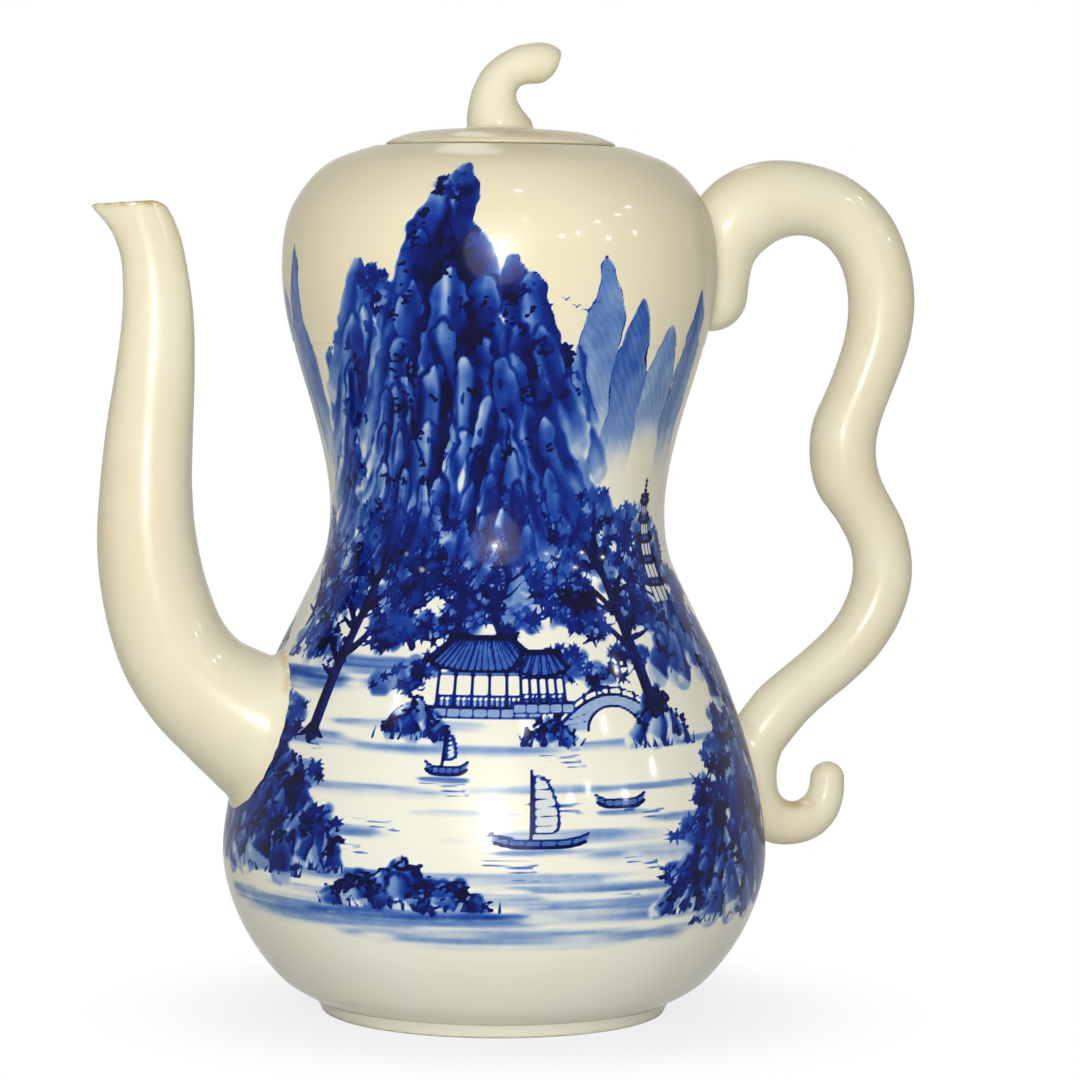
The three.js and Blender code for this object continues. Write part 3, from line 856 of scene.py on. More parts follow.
def lid_disc():
    top = LID_UNDERSIDE_Z + LID_EDGE_HEIGHT
    edge = catmull_rom([
        (LID_R - 0.9, LID_UNDERSIDE_Z), (LID_R - 0.25, LID_UNDERSIDE_Z + 0.2),
        (LID_R, LID_UNDERSIDE_Z + 0.6), (LID_R - 0.2, top - 0.4), (LID_R - 0.6, top - 0.1),
    ], 5)
    dome = catmull_rom(LID_DOME + [(8.4, LID_TOP_Z), (6.0, LID_TOP_Z)], 8)
    loop = np.vstack([[(0.0, LID_UNDERSIDE_Z)], edge, dome, [(0.0, LID_TOP_Z)]])
    piece = turned_piece("lid_disc", loop, even_longitudes(240), "lid")
    bpy.ops.mesh.primitive_cylinder_add(
        vertices=32, radius=VENT_R * MM, depth=0.02,
        location=(AXIS_X * MM, VENT_OFFSET_Y * MM, LID_TOP_Z * MM))
    drill(piece, bpy.context.object)
    radius, _ = radius_and_height(piece)
    # Painted shade on the lid's slope, in the thin glaze's brown.
    slope = unit((radius - LID_SHADE_FROM_R) / LID_SHADE_SPREAD)
    # The painted shade stops short of the lid's own edge.
    slope = slope * unit((LID_R - 1.6 - radius) / 0.6)
    set_values(piece, "thin_glaze_and_shade", LID_PAINTED_SHADE * slope)
    return piece


def lid_collar():
    top = LID_UNDERSIDE_Z + OVERLAP
    foot = top - COLLAR_DEPTH
    loop = [
        (COLLAR_INNER_R, foot + 0.5), (COLLAR_INNER_R + 0.5, foot),
        (COLLAR_OUTER_R - 1.2, foot), (COLLAR_OUTER_R - 0.7, foot + 0.3),
        (COLLAR_OUTER_R, foot + 1.4), (COLLAR_OUTER_R, top), (COLLAR_INNER_R, top),
    ]
    return turned_piece("lid_collar", loop, even_longitudes(120), "lid")


def lid_stalk():
    rings = rings_across(STALK_RIBS, 8)
    sunk = LID_TOP_Z - OVERLAP
    foot = rings[0].copy()
    foot[1] = sunk
    face = rings[-1]
    end = []
    for share, reach in catmull_rom(STALK_END_DOME, 4)[1:]:
        ring = face.copy()
        ring[0] -= math.sin(face[3]) * reach
        ring[1] += math.cos(face[3]) * reach
        ring[2] *= share
        end.append(ring)
    rings = np.vstack([foot, rings, end])
    # Slip fills the angle between the stalk and the lid.
    near = unit(1 - (rings[:, 1] - LID_TOP_Z) / STALK_FILLET)
    rings[:, 2] += STALK_FILLET * (1 - np.sqrt(1 - near ** 2))
    points = ring_points(rings, STRAND_SIDES)
    points[..., 2] = np.maximum(points[..., 2], sunk)
    piece = lofted_piece("lid_stalk", points, "lid", crease=STALK_CREASE)
    across = piece_points(piece)[:, 0] - AXIS_X
    cut = np.exp(-((across - CUT_STAIN_X) / CUT_STAIN_WIDTH) ** 2)
    set_values(piece, "thin_glaze_and_shade", CUT_STAIN * cut)
    return piece


# Painting

def panel(u, half_width, low, high):
    """The corners of an upright panel."""
    return [(u - half_width, low), (u + half_width, low),
            (u + half_width, high), (u - half_width, high)]


def along_line(line, u, v):
    """For each cell: its distance from a line, the share along it, and on which side."""
    nearest = np.full(u.shape, 1e9)
    along = np.zeros(u.shape)
    side = np.ones(u.shape)
    steps = np.diff(line, axis=0)
    for k, (start, step) in enumerate(zip(line[:-1], steps)):
        share = unit(((u - start[0]) * step[0] + (v - start[1]) * step[1]) / (step @ step))
        off_u = u - start[0] - share * step[0]
        off_v = v - start[1] - share * step[1]
        gap = np.hypot(off_u, off_v)
        closer = gap < nearest
        nearest = np.where(closer, gap, nearest)
        along = np.where(closer, (k + share) / len(steps), along)
        side = np.where(closer, np.sign(step[0] * off_v - step[1] * off_u), side)
    return nearest, along, side


# The softness of a mark's edge and the size of the noise's repeat, in millimetres and cells.
MARK_SOFTNESS = 0.6
NOISE_CELLS = 64


class Brush:
    """Cobalt laid on the unrolled body: washes, and crisp strokes with their own darkness."""

    def __init__(self, seed):
        self.cells_across = int(round(2 * math.pi * CANVAS_RADIUS / CANVAS_CELL))
        self.cells_up = int(round(CANVAS_TOP / CANVAS_CELL))
        shape = (self.cells_up, self.cells_across)
        self.cover = np.zeros(shape, np.float32)
        self.tone = np.full(shape, 0.7, np.float32)
        self.wash = np.zeros(shape, np.float32)
        self.u = (np.arange(self.cells_across) + 0.5) * CANVAS_CELL
        self.v = (np.arange(self.cells_up) + 0.5) * CANVAS_CELL
        self.random = np.random.default_rng(seed)
        self.lattice = self.random.random((NOISE_CELLS, NOISE_CELLS)).astype(np.float32)

    def place(self, longitude, height):
        return np.array([
            math.radians(longitude - SEAM_LONGITUDE) * CANVAS_RADIUS, float(height)])

    def window(self, low_u, high_u, low_v, high_v):
        """The part of the plane between two corners, and the places of its cells."""
        left = max(0, int(low_u / CANVAS_CELL))
        right = max(left, min(self.cells_across, int(high_u / CANVAS_CELL) + 1))
        bottom = max(0, int(low_v / CANVAS_CELL))
        top = max(bottom, min(self.cells_up, int(high_v / CANVAS_CELL) + 1))
        part = (slice(bottom, top), slice(left, right))
        return part, self.u[None, left:right], self.v[bottom:top, None]

    def cloud(self, u, v, size, shift=0.0):
        """Smooth noise from 0 to 1 with blots of the given size."""
        x = np.asarray(u / size + shift * 7.3) % NOISE_CELLS
        y = np.asarray(v / size + shift * 3.1) % NOISE_CELLS
        x, y = np.broadcast_arrays(x, y)
        column = np.floor(x).astype(int)
        row = np.floor(y).astype(int)
        across = x - column
        up = y - row
        across = across * across * (3 - 2 * across)
        up = up * up * (3 - 2 * up)
        right = (column + 1) % NOISE_CELLS
        above = (row + 1) % NOISE_CELLS
        column = column % NOISE_CELLS
        row = row % NOISE_CELLS
        low = self.lattice[row, column] * (1 - across) + self.lattice[row, right] * across
        high = self.lattice[above, column] * (1 - across) + self.lattice[above, right] * across
        return low * (1 - up) + high * up

    def mark(self, start, end, start_width, end_width, tone):
        """One touch of the brush between two points. Widths are half the mark's own."""
        reach = max(start_width, end_width) + 1.0
        part, u, v = self.window(
            min(start[0], end[0]) - reach, max(start[0], end[0]) + reach,
            min(start[1], end[1]) - reach, max(start[1], end[1]) + reach)
        du = end[0] - start[0]
        dv = end[1] - start[1]
        along = unit(((u - start[0]) * du + (v - start[1]) * dv) / (du * du + dv * dv + 1e-9))
        width = start_width + (end_width - start_width) * along
        gap = np.hypot(u - start[0] - along * du, v - start[1] - along * dv) - width
        laid = unit(0.5 - gap / MARK_SOFTNESS)
        near = unit(1.0 - gap / MARK_SOFTNESS)
        self.tone[part] = self.tone[part] * (1 - near) + tone * near
        self.cover[part] = np.maximum(self.cover[part], laid)

    def stroke(self, points, width, tone, press=0.5, tail=0.25):
        """A brush stroke through points, thickest at a third of its length."""
        line = catmull_rom(points, 4) if len(points) > 2 else np.array(points, float)
        last = len(line) - 1
        along = np.linspace(0, 1, last + 1)
        swell = np.minimum(press + (1 - press) * along / 0.3, 1.0)
        swell = np.where(along > 0.3, 1 - (1 - tail) * (along - 0.3) / 0.7, swell)
        for k in range(last):
            self.mark(line[k], line[k + 1], width * swell[k], width * swell[k + 1], tone)

    def line(self, points, width, tone):
        """An even line through points."""
        for start, end in zip(points[:-1], points[1:]):
            self.mark(start, end, width, width, tone)

    def post(self, u, low, high, width, tone):
        self.mark((u, low), (u, high), width, width, tone)

    def beam(self, u, half_width, v, width, tone):
        self.mark((u - half_width, v), (u + half_width, v), width, width, tone)

    def clear(self, part, mask, wash):
        """Lays a shape over what is behind it, with its own wash."""
        self.cover[part] = self.cover[part] * (1 - mask)
        self.wash[part] = self.wash[part] * (1 - mask) + wash * mask

    def fill(self, polygon, wash):
        """Lays a flat wash over the inside of a polygon."""
        polygon = np.array(polygon, float)
        low = polygon.min(axis=0)
        high = polygon.max(axis=0)
        part, u, v = self.window(low[0], high[0], low[1], high[1])
        inside = np.zeros(np.broadcast_shapes(u.shape, v.shape), bool)
        for start, end in zip(polygon, np.roll(polygon, -1, axis=0)):
            crosses = (start[1] > v) != (end[1] > v)
            rise = end[1] - start[1]
            where = start[0] + (v - start[1]) * (end[0] - start[0]) / (rise if rise else 1e-9)
            inside ^= crosses & (u < where)
        self.clear(part, inside.astype(np.float32), wash)

    def wet(self, longitude, height, half_length, half_height, tone):
        """A soft horizontal wash, as for water or mist."""
        u0, v0 = self.place(longitude, height)
        part, u, v = self.window(
            u0 - 1.3 * half_length, u0 + 1.3 * half_length,
            v0 - 2.2 * half_height, v0 + 2.2 * half_height)
        ragged = (self.cloud(u, v * 4, 6.0, longitude) - 0.5) * 0.5
        across = np.abs((u - u0) / half_length) + ragged
        lens = half_height * np.sqrt(unit(1 - across ** 2))
        # The upper edge of the wash is crisper than the lower one.
        soft = np.where(v > v0, 0.35, 0.9) * half_height
        edge = unit((lens - np.abs(v - v0)) / soft + 0.3)
        tip = unit((1 - across) / 0.35)
        # The bristles leave long level streaks.
        grain = 0.45 + 0.95 * self.cloud(0.14 * u, 2.2 * v, 1.5, height)
        self.wash[part] = np.maximum(self.wash[part], tone * edge * tip * grain)

    # Trees and plants

    def rosette(self, u, v, size, tone):
        """Leaves dabbed outwards from one point."""
        first = self.random.uniform(0, 2 * math.pi)
        leaves = int(self.random.integers(5, 9))
        for leaf in range(leaves):
            turn = first + 2 * math.pi * leaf / leaves + self.random.uniform(-0.3, 0.3)
            length = size * self.random.uniform(0.65, 1.15)
            heading = np.array([math.cos(turn), 0.85 * math.sin(turn)])
            root = np.array([u, v]) + heading * 0.25 * size
            self.mark(root, root + heading * length, 0.14 * size, 0.05 * size, tone)

    def foliage(self, longitude, height, half_width, half_height, tone, size, thick):
        """A mass of leaves: a broken wash under many rosettes."""
        u0, v0 = self.place(longitude, height)
        part, u, v = self.window(
            u0 - 1.3 * half_width, u0 + 1.3 * half_width,
            v0 - 1.3 * half_height, v0 + 1.3 * half_height)
        ragged = (self.cloud(u, v, 2.6, height) - 0.5) * 0.9
        reach = np.hypot((u - u0) / half_width, (v - v0) / half_height) + ragged
        shade = unit((1.0 - reach) / 0.3)
        depth = 0.22 + 0.46 * self.cloud(u, v, 2.2, longitude)
        self.wash[part] = np.maximum(self.wash[part], shade * depth * tone)
        count = int(thick * half_width * half_height * math.pi / (size * size * 1.5))
        for _ in range(count):
            turn = self.random.uniform(0, 2 * math.pi)
            far = math.sqrt(self.random.uniform(0, 1))
            at_u = u0 + far * half_width * math.cos(turn)
            at_v = v0 + far * half_height * math.sin(turn)
            # The underside of a mass of leaves is the darkest.
            low = 0.5 - 0.5 * far * math.sin(turn)
            depth = tone * (0.40 + 0.30 * low + self.random.uniform(0, 0.50))
            self.rosette(at_u, at_v, size * self.random.uniform(0.75, 1.2), min(depth, 1.0))

    def trunk(self, points, width, tone, branches):
        """A trunk with bare twigs to both sides."""
        places = [self.place(*point) for point in points]
        self.stroke(places, width, tone, press=0.9, tail=0.4)
        line = catmull_rom(places, 6)
        for branch in range(branches):
            at = int(len(line) * (0.35 + 0.6 * branch / branches))
            side = 1 if branch % 2 else -1
            root = line[at]
            length = self.random.uniform(4.0, 8.0)
            rise = self.random.uniform(0.2, 1.0)
            bend = root + [side * 0.5 * length, 0.3 * length * rise]
            end = root + [side * length, 0.8 * length * rise]
            self.stroke([root, bend, end], 0.45 * width, tone, press=0.9)

    def reeds(self, longitude, height, spread, count):
        for _ in range(count):
            root = self.place(longitude, height) + [self.random.uniform(-spread, spread), 0]
            tip = root + [self.random.uniform(-1.4, 1.4), self.random.uniform(1.4, 3.0)]
            self.mark(root, tip, 0.22, 0.08, 0.8)

    # Rock

    def crag(self, longitude, base, height, half_width, lean, dark, misty):
        """The whole shape of a rock: its outline, its ridge, and folds that run down from it."""
        u0, v0 = self.place(longitude, base)
        part, u, v = self.window(
            u0 - 1.7 * half_width - abs(lean), u0 + 1.7 * half_width + abs(lean),
            v0 - 1.0, v0 + 1.1 * height)
        shift = longitude * 0.37 + height * 0.11
        level = (v - v0) / height
        centre = u0 + lean * unit(level) + 2.2 * (self.cloud(0 * u, v, 9.0, shift) - 0.5)
        knobs = (self.cloud(u, v, 4.6, shift + 1) - 0.5) * 0.42 * half_width
        reach = half_width * unit(1 - unit(level) ** 1.6) ** 0.8
        inset = reach + knobs * np.clip(1.2 - level, 0.1, 1) - np.abs(u - centre)
        mask = unit(inset / 0.5) * unit((level + 0.01) / 0.02)
        # A misty foot fades out higher up than one that stands in the water.
        mist = unit(level / 0.30) if misty else unit(level / 0.04)
        ridge = centre + 0.15 * half_width + 2.2 * (
            self.cloud(0 * u, v, 5.0, shift + 2) - 0.5)
        # Folds run down from the ridge, and spread as the rock widens.
        flow = (u - ridge) / (0.28 * half_width + 0.72 * reach)
        sway = 0.9 * (self.cloud(u, v, 5.0, shift + 3) - 0.5)
        across = (flow + sway) * half_width
        broad = self.cloud(across, 0.16 * v, 1.5, shift + 4)
        fine = self.cloud(across, 0.22 * v, 0.62, shift + 8)
        blots = self.cloud(u, v, 4.2, shift + 5)
        # Washes: the right side lies in shade, and a lit edge follows the ridge and outline.
        shaded = unit(0.5 + 0.75 * flow)
        depth = unit(0.35 + 0.55 * shaded + 0.5 * (blots - 0.5))
        lit = unit(1 - np.abs(inset - 1.5) / 1.2) * unit((level - 0.3) / 0.4)
        lit = np.maximum(lit * (1 - 0.5 * shaded), np.exp(-(flow / 0.16) ** 2) * (1 - shaded))
        wash = dark * (0.14 + 0.62 * depth * np.clip((broad - 0.18) / 0.4, 0.15, 1))
        self.clear(part, mask * mist, wash * (1 - 0.8 * lit) + 0.02)
        # Strokes: broad and fine folds, and a broken outline.
        fold = unit((broad - (0.70 - 0.26 * depth)) / 0.07)
        hair = unit((fine - (0.78 - 0.24 * depth)) / 0.08)
        laid = np.maximum(fold, hair) * (1 - 0.85 * lit) * mask * unit(mist * 1.4 - 0.3)
        rim = unit(1 - np.abs(inset - 0.35) / 0.5) * (level > 0.02) * mist
        rim = rim * (self.cloud(u, v, 1.7, shift + 7) > 0.22) * (mask > 0)
        laid = np.maximum(laid, rim)
        inked = np.clip(dark * (0.62 + 0.42 * depth) + 0.2 * (blots - 0.5), 0.3, 1.0)
        self.tone[part] = np.where(laid > 0.12, inked, self.tone[part])
        self.cover[part] = np.maximum(self.cover[part], laid)

    def lobe(self, spine, width, dark, light_side, fade):
        """One fold of rock down a spine: a pale rounded top, a lit side and a shaded one."""
        line = catmull_rom(spine, 5)
        low = line.min(axis=0) - 1.8 * width
        high = line.max(axis=0) + 1.8 * width
        part, u, v = self.window(low[0], high[0], low[1], high[1])
        u, v = np.broadcast_arrays(u, v)
        nearest, along, side = along_line(line, u, v)
        length = np.hypot(*np.diff(line, axis=0).T).sum()
        shift = 0.13 * line[0, 0] + 0.07 * line[0, 1]
        # The fold widens from its rounded top, with a slightly uneven edge.
        cap = min(1.2 * width / length, 0.4)
        reach = width * (0.55 + 0.45 * unit(along / cap)) * (0.85 + 0.3 * along)
        reach = reach + 0.45 * width * (self.cloud(u, v, 2.6, shift) - 0.5)
        inset = reach - nearest
        turned = -light_side * side * nearest / np.maximum(reach, 0.3)
        swayed = side * nearest + 2.4 * (self.cloud(u, v, 7.0, shift + 3) - 0.5)
        streak = self.cloud(swayed, 0.10 * length * along, 2.1, shift + 1)
        hair = self.cloud(swayed, 0.16 * length * along, 0.62, shift + 5)
        blots = self.cloud(u, v, 3.6, shift + 6)
        # Washes: pale at the top, darker down its shaded side, thin at the foot.
        shade = unit(0.52 + 0.6 * turned)
        top = unit(1 - along * length / (1.2 * width)) * (1 - 0.5 * shade)
        foot = unit((1 - along) / fade)
        depth = unit(0.44 + 0.55 * shade + 1.1 * (streak - 0.5) + 0.3 * (blots - 0.5))
        depth = depth * (1 - 0.62 * top)
        wash = dark * (0.15 + 0.78 * depth) * (0.3 + 0.7 * foot)
        mask = unit(inset / 0.5)
        # A dark hollow lies around the top, where the rock behind is already washed.
        hollow = unit(1 + inset / (0.42 * width)) * unit(1.3 - 2.6 * along)
        behind = self.wash[part]
        self.wash[part] = np.where(
            behind > 0.1, np.maximum(behind, hollow * 0.95 * dark), behind)
        self.clear(part, mask, wash)
        # Strokes: folds along the spine, and an outline on the shaded side.
        fold = unit((streak - (0.80 - 0.34 * shade)) / 0.10)
        fine = 0.8 * unit((hair - (0.86 - 0.26 * shade)) / 0.10)
        laid = np.maximum(fold, fine) * (1 - unit(1.6 * top)) * mask * unit(1.5 * foot - 0.3)
        rim = unit(1 - np.abs(inset - 0.3) / 0.5) * (mask > 0)
        rim = rim * np.clip(0.25 + turned, 0.05, 1) * unit(2 * foot)
        laid = np.maximum(laid, rim)
        inked = np.clip(dark * (0.58 + 0.40 * shade) + 0.35 * (blots - 0.5), 0.3, 1.0)
        self.tone[part] = np.where(laid > 0.12, inked, self.tone[part])
        self.cover[part] = np.maximum(self.cover[part], laid)

    def mountain(self, longitude, base, height, half_width, lean, dark, rows, sweep, misty=True):
        """A great rock: rows of long folds that sweep down from its ridge, one on another."""
        u0, v0 = self.place(longitude, base)
        self.crag(longitude, base, height * 0.97, 0.9 * half_width, lean, 0.8 * dark, misty)
        for row in range(rows):
            share = row / rows
            level = 1 - 0.86 * share
            wide = half_width * (0.13 + 0.77 * share ** 0.75)
            folds = 1 + int(round(4.2 * wide / half_width))
            places = np.linspace(-wide, wide, folds) if folds > 1 else np.array([0.0])
            self.random.shuffle(places)
            for aside in places:
                aside = aside + self.random.uniform(-0.08, 0.08) * half_width
                top = level - 0.10 * (aside / half_width) ** 2 * (1 - share)
                top = top + self.random.uniform(-0.05, 0.05)
                length = height * self.random.uniform(0.34, 0.52) * (0.8 + 0.4 * (1 - share))
                length = min(length, height * top + 0.03 * height)
                drift = length * (0.55 * aside / half_width + sweep)
                head = np.array([u0 + lean * top + aside, v0 + height * top])
                spine = [head, head + [0.18 * drift, -0.34 * length],
                         head + [0.55 * drift, -0.68 * length], head + [drift, -length]]
                width = half_width * self.random.uniform(0.19, 0.31)
                light_side = -1 if aside < 0.35 * half_width else 1
                self.lobe(spine, width, dark * self.random.uniform(0.82, 1.06), light_side,
                          0.4 if misty else 0.12)
        self.moss(longitude, base + 0.25 * height, base + height, half_width,
                  int(0.026 * half_width * height), 1.1)

    def moss(self, longitude, low, high, half_width, count, size=0.9):
        """Clusters of dabs scattered up a rock, denser at its sides and top."""
        for _ in range(count):
            up = self.random.uniform(0, 1) ** 0.8
            wide = half_width * (1 - up) ** 0.7
            side = self.random.choice([-1, 1]) * self.random.uniform(0.1, 1.1) ** 0.7
            root = self.place(longitude, low + (high - low) * up) + [side * wide, 0]
            for _ in range(6):
                dab = root + self.random.uniform(-1.3, 1.3, 2)
                self.mark(dab, dab + [0.5 * size, 0.1], 0.32 * size, 0.22 * size, 0.95)

    def far_peak(self, longitude, base, height, half_width, tone):
        """A distant peak: a flat pale wash that fades into mist, with a thin outline."""
        u0, v0 = self.place(longitude, base)
        part, u, v = self.window(
            u0 - 1.5 * half_width, u0 + 1.5 * half_width, v0, v0 + 1.08 * height)
        level = (v - v0) / height
        centre = u0 + 1.6 * (self.cloud(0 * u, v, 8.0, longitude) - 0.5)
        wobble = (self.cloud(u, v, 4.0, longitude + 1) - 0.5) * 1.8
        reach = half_width * unit(1 - unit(level) ** 2.6) ** 0.6 + wobble
        inset = reach - np.abs(u - centre)
        mask = unit(inset / 0.4) * (level < 1.02)
        mist = unit(level / 0.35)
        hatch = 0.5 + 0.5 * np.sin(2 * np.pi * (v + 1.4 * u + 3 * self.cloud(u, v, 5.0)) / 2.6)
        streak = 0.82 + 0.14 * hatch + 0.3 * (self.cloud(u * 2.2, v, 5.0, longitude) - 0.5)
        self.clear(part, mask * mist, tone * streak * (0.75 + 0.35 * level))
        rim = unit(1 - np.abs(inset - 0.3) / 0.4) * (level > 0.3)
        self.tone[part] = np.where(rim > 0.2, min(1.0, 1.9 * tone), self.tone[part])
        self.cover[part] = np.maximum(self.cover[part], 0.85 * rim * (mask > 0))

    # Buildings and boats

    def roof(self, middle, half_width, eave, rise, tone=0.8):
        """A hipped tile roof with lifted corners. Middle is the centre of its eave line."""
        u, v = middle
        lift = 0.28 * rise
        ridge = 0.55 * half_width
        eaves = catmull_rom([
            (u - half_width, v + lift), (u - 0.6 * half_width, v), (u, v - eave),
            (u + 0.6 * half_width, v), (u + half_width, v + lift)], 5)
        left = catmull_rom([
            (u - half_width, v + lift), (u - 0.75 * half_width, v + 0.42 * rise),
            (u - ridge, v + rise)], 4)
        right = left * [-1, 1] + [2 * u, 0]
        self.fill(np.vstack([eaves, right[1:], left[::-1][:-1]]), 0.42)
        tiles = int(2 * half_width / 0.95)
        for tile in range(tiles + 1):
            share = tile / tiles
            foot = eaves[int(share * (len(eaves) - 1))]
            head = np.array([u - ridge + 2 * ridge * share, v + rise])
            self.mark(head, foot, 0.16, 0.22, tone)
        edge_tone = min(1.0, tone + 0.15)
        self.line(eaves, 0.28, edge_tone)
        self.line(left, 0.26, edge_tone)
        self.line(right, 0.26, edge_tone)
        self.beam(u, ridge + 0.6, v + rise, 0.42, 1.0)

    def pavilion(self, longitude, ground, half_width, wall, rise):
        """An open hall on a stone terrace by the water."""
        u, v = self.place(longitude, ground)
        inner = 0.8 * half_width
        self.fill(panel(u, inner, v, v + wall), 0.03)
        for at in np.linspace(u - inner, u + inner, 6):
            self.post(at, v, v + wall, 0.26, 0.9)
        for rail in (0.14, 0.30):
            self.beam(u, inner, v + rail * wall, 0.17, 0.8)
        pickets = int(2 * inner / 1.1)
        for picket in range(pickets):
            at = u - inner + 2 * inner * (picket + 0.5) / pickets
            self.post(at, v, v + 0.3 * wall, 0.13, 0.75)
        self.beam(u, inner, v + 0.86 * wall, 0.2, 0.8)
        self.roof((u, v + wall), half_width * 1.12, 0.5, rise)
        terrace = half_width * 1.08
        foot = v - 2.2
        self.fill(panel(u, terrace, foot, v), 0.22)
        self.beam(u, terrace, v, 0.3, 0.95)
        self.beam(u, terrace, foot, 0.2, 0.8)
        stones = int(2 * terrace / 2.4)
        for at in np.linspace(u - terrace, u + terrace, stones + 1):
            self.post(at, foot, v, 0.16, 0.7)

    def pagoda(self, longitude, ground, half_width, storeys):
        """A tower of open storeys, each narrower and lower than the one under it."""
        u, v = self.place(longitude, ground)
        for storey in range(storeys):
            width = half_width * (1 - 0.14 * storey)
            wall = 3.6 - 0.25 * storey
            inner = 0.62 * width
            self.fill(panel(u, inner, v, v + wall), 0.08)
            for side in (-1.0, -0.36, 0.36, 1.0):
                self.post(u + side * inner, v, v + wall, 0.2, 0.85)
            self.roof((u, v + wall), width, 0.2, 1.7, 0.9)
            v += wall + 1.5
        self.post(u, v, v + 4.0, 0.24, 0.95)
        for ring in range(3):
            self.beam(u, 0.6, v + 1.2 + ring, 0.2, 0.95)

    def bridge(self, longitude, water, half_span, rise):
        """A humped stone bridge with one arch."""
        u, v = self.place(longitude, water)
        turn = np.linspace(-1, 1, 17)
        deck = np.column_stack([u + half_span * turn, v + 1.2 + rise * (1 - turn ** 2)])
        arch_width = 0.5 * half_span
        swing = np.linspace(0, np.pi, 15)
        arch = np.column_stack([
            u + arch_width * np.cos(swing), v + 0.82 * rise * np.sin(swing)])
        self.fill([*deck, (u + half_span, v), *arch, (u - half_span, v)], 0.2)
        self.line(deck, 0.26, 0.95)
        self.line(deck + [0, 1.5], 0.18, 0.85)
        self.line(arch, 0.24, 0.9)
        for post in deck[::2]:
            self.line([post, post + [0, 1.9]], 0.2, 0.9)
        for course in (0.35, 0.62):
            for side in (-1, 1):
                start = np.array([u + side * half_span * 0.95, v + course * rise * 0.5])
                end = np.array([u + side * arch_width * 1.05, v + course * rise * 0.9])
                self.mark(start, end, 0.14, 0.14, 0.65)

    def boat(self, longitude, water, half_length, sail=0.0):
        """A planked boat on its own reflection. Sail is the height of its sail."""
        u, v = self.place(longitude, water)
        turn = np.linspace(-1, 1, 13)
        rim = np.column_stack([u + half_length * turn, v + 1.5 + 1.3 * turn ** 4])
        keel = np.column_stack([u + 0.92 * half_length * turn, v + 1.1 * turn ** 4])
        self.fill(np.vstack([rim, keel[::-1]]), 0.4)
        self.line(rim, 0.24, 0.95)
        self.line(keel, 0.34, 1.0)
        for at in range(2, 12, 2):
            self.line([rim[at], keel[at]], 0.14, 0.8)
        if sail:
            foot = np.array([u - 0.2 * half_length, v + 2.0])
            head = foot + [0.4, sail]
            wide = 0.36 * sail
            cloth = catmull_rom([
                foot + [0.6, 1.0], foot + [wide, 1.6], foot + [0.96 * wide, 0.6 * sail],
                head + [0.5 * wide, -0.6], head + [0.3, -0.2]], 4)
            self.fill(cloth, 0.10)
            self.line(np.vstack([cloth, cloth[:1]]), 0.2, 0.85)
            for batten in np.linspace(0.18, 0.9, 6):
                low = foot + [0.5, batten * sail]
                self.mark(low, low + [wide * (1 - 0.35 * batten ** 3), 0.5], 0.14, 0.14, 0.7)
            self.line([foot, head + [0, 1.2]], 0.2, 0.95)
        self.wet(longitude, water - 1.2, half_length * 1.3, 0.8, 0.30)

    def birds(self, longitude, height, count):
        """Far birds in a wavering line."""
        for bird in range(count):
            at = self.place(longitude, height) + [
                2.6 * bird + self.random.uniform(-0.6, 0.6), 1.2 * math.sin(bird * 1.7)]
            for side in (-1, 1):
                wing = [at, at + [side * 0.7, 0.55], at + [side * 1.5, 0.2]]
                self.stroke(wing, 0.17, 0.8)


# The landscape

def paint_peaks(brush):
    for longitude, base, height, half_width, tone in (
            (-92, 122, 42, 6, 0.3), (-82, 120, 52, 5.6, 0.42), (15, 124, 46, 6.6, 0.34),
            (40, 126, 30, 7, 0.3), (27, 122, 40, 5.8, 0.46), (54, 120, 44, 6.2, 0.36),
            (96, 124, 44, 7, 0.32), (-183, 126, 34, 6.4, 0.3), (-170, 124, 46, 5.2, 0.4)):
        brush.far_peak(longitude, base, height, half_width, tone)


def paint_mountain(brush):
    # The main mountain left of centre, from its far shoulders to the rocks at its foot.
    for longitude, base, height, half_width, lean, dark, rows, sweep in (
            (-64, 108, 40, 9, -2, 0.66, 3, -0.3), (4, 110, 42, 9.5, 2, 0.7, 3, 0.3),
            (-49, 104, 64, 13, -1, 0.86, 5, -0.45), (-10, 105, 62, 13, 2, 0.9, 5, 0.3),
            (-29, 102, 85, 18, 2, 1, 7, -0.25), (-44, 100, 40, 11, -2, 0.94, 4, -0.5),
            (-15, 100, 38, 11, 1, 0.96, 4, -0.2)):
        brush.mountain(longitude, base, height, half_width, lean, dark, rows, sweep)
    for longitude, height, half_width, half_height in (
            (-27, 186, 5, 2.6), (-48, 166, 4.2, 2.6), (-9, 164, 4.2, 2.4),
            (-62, 136, 4.6, 3.2), (3, 143, 4.6, 3.2), (-38, 150, 3, 2), (-20, 156, 3, 2),
            (-57, 150, 3, 2.4), (-3, 152, 3, 2.2), (-66, 124, 4, 3)):
        brush.foliage(longitude, height, half_width, half_height, 0.95, 1, 1.1)


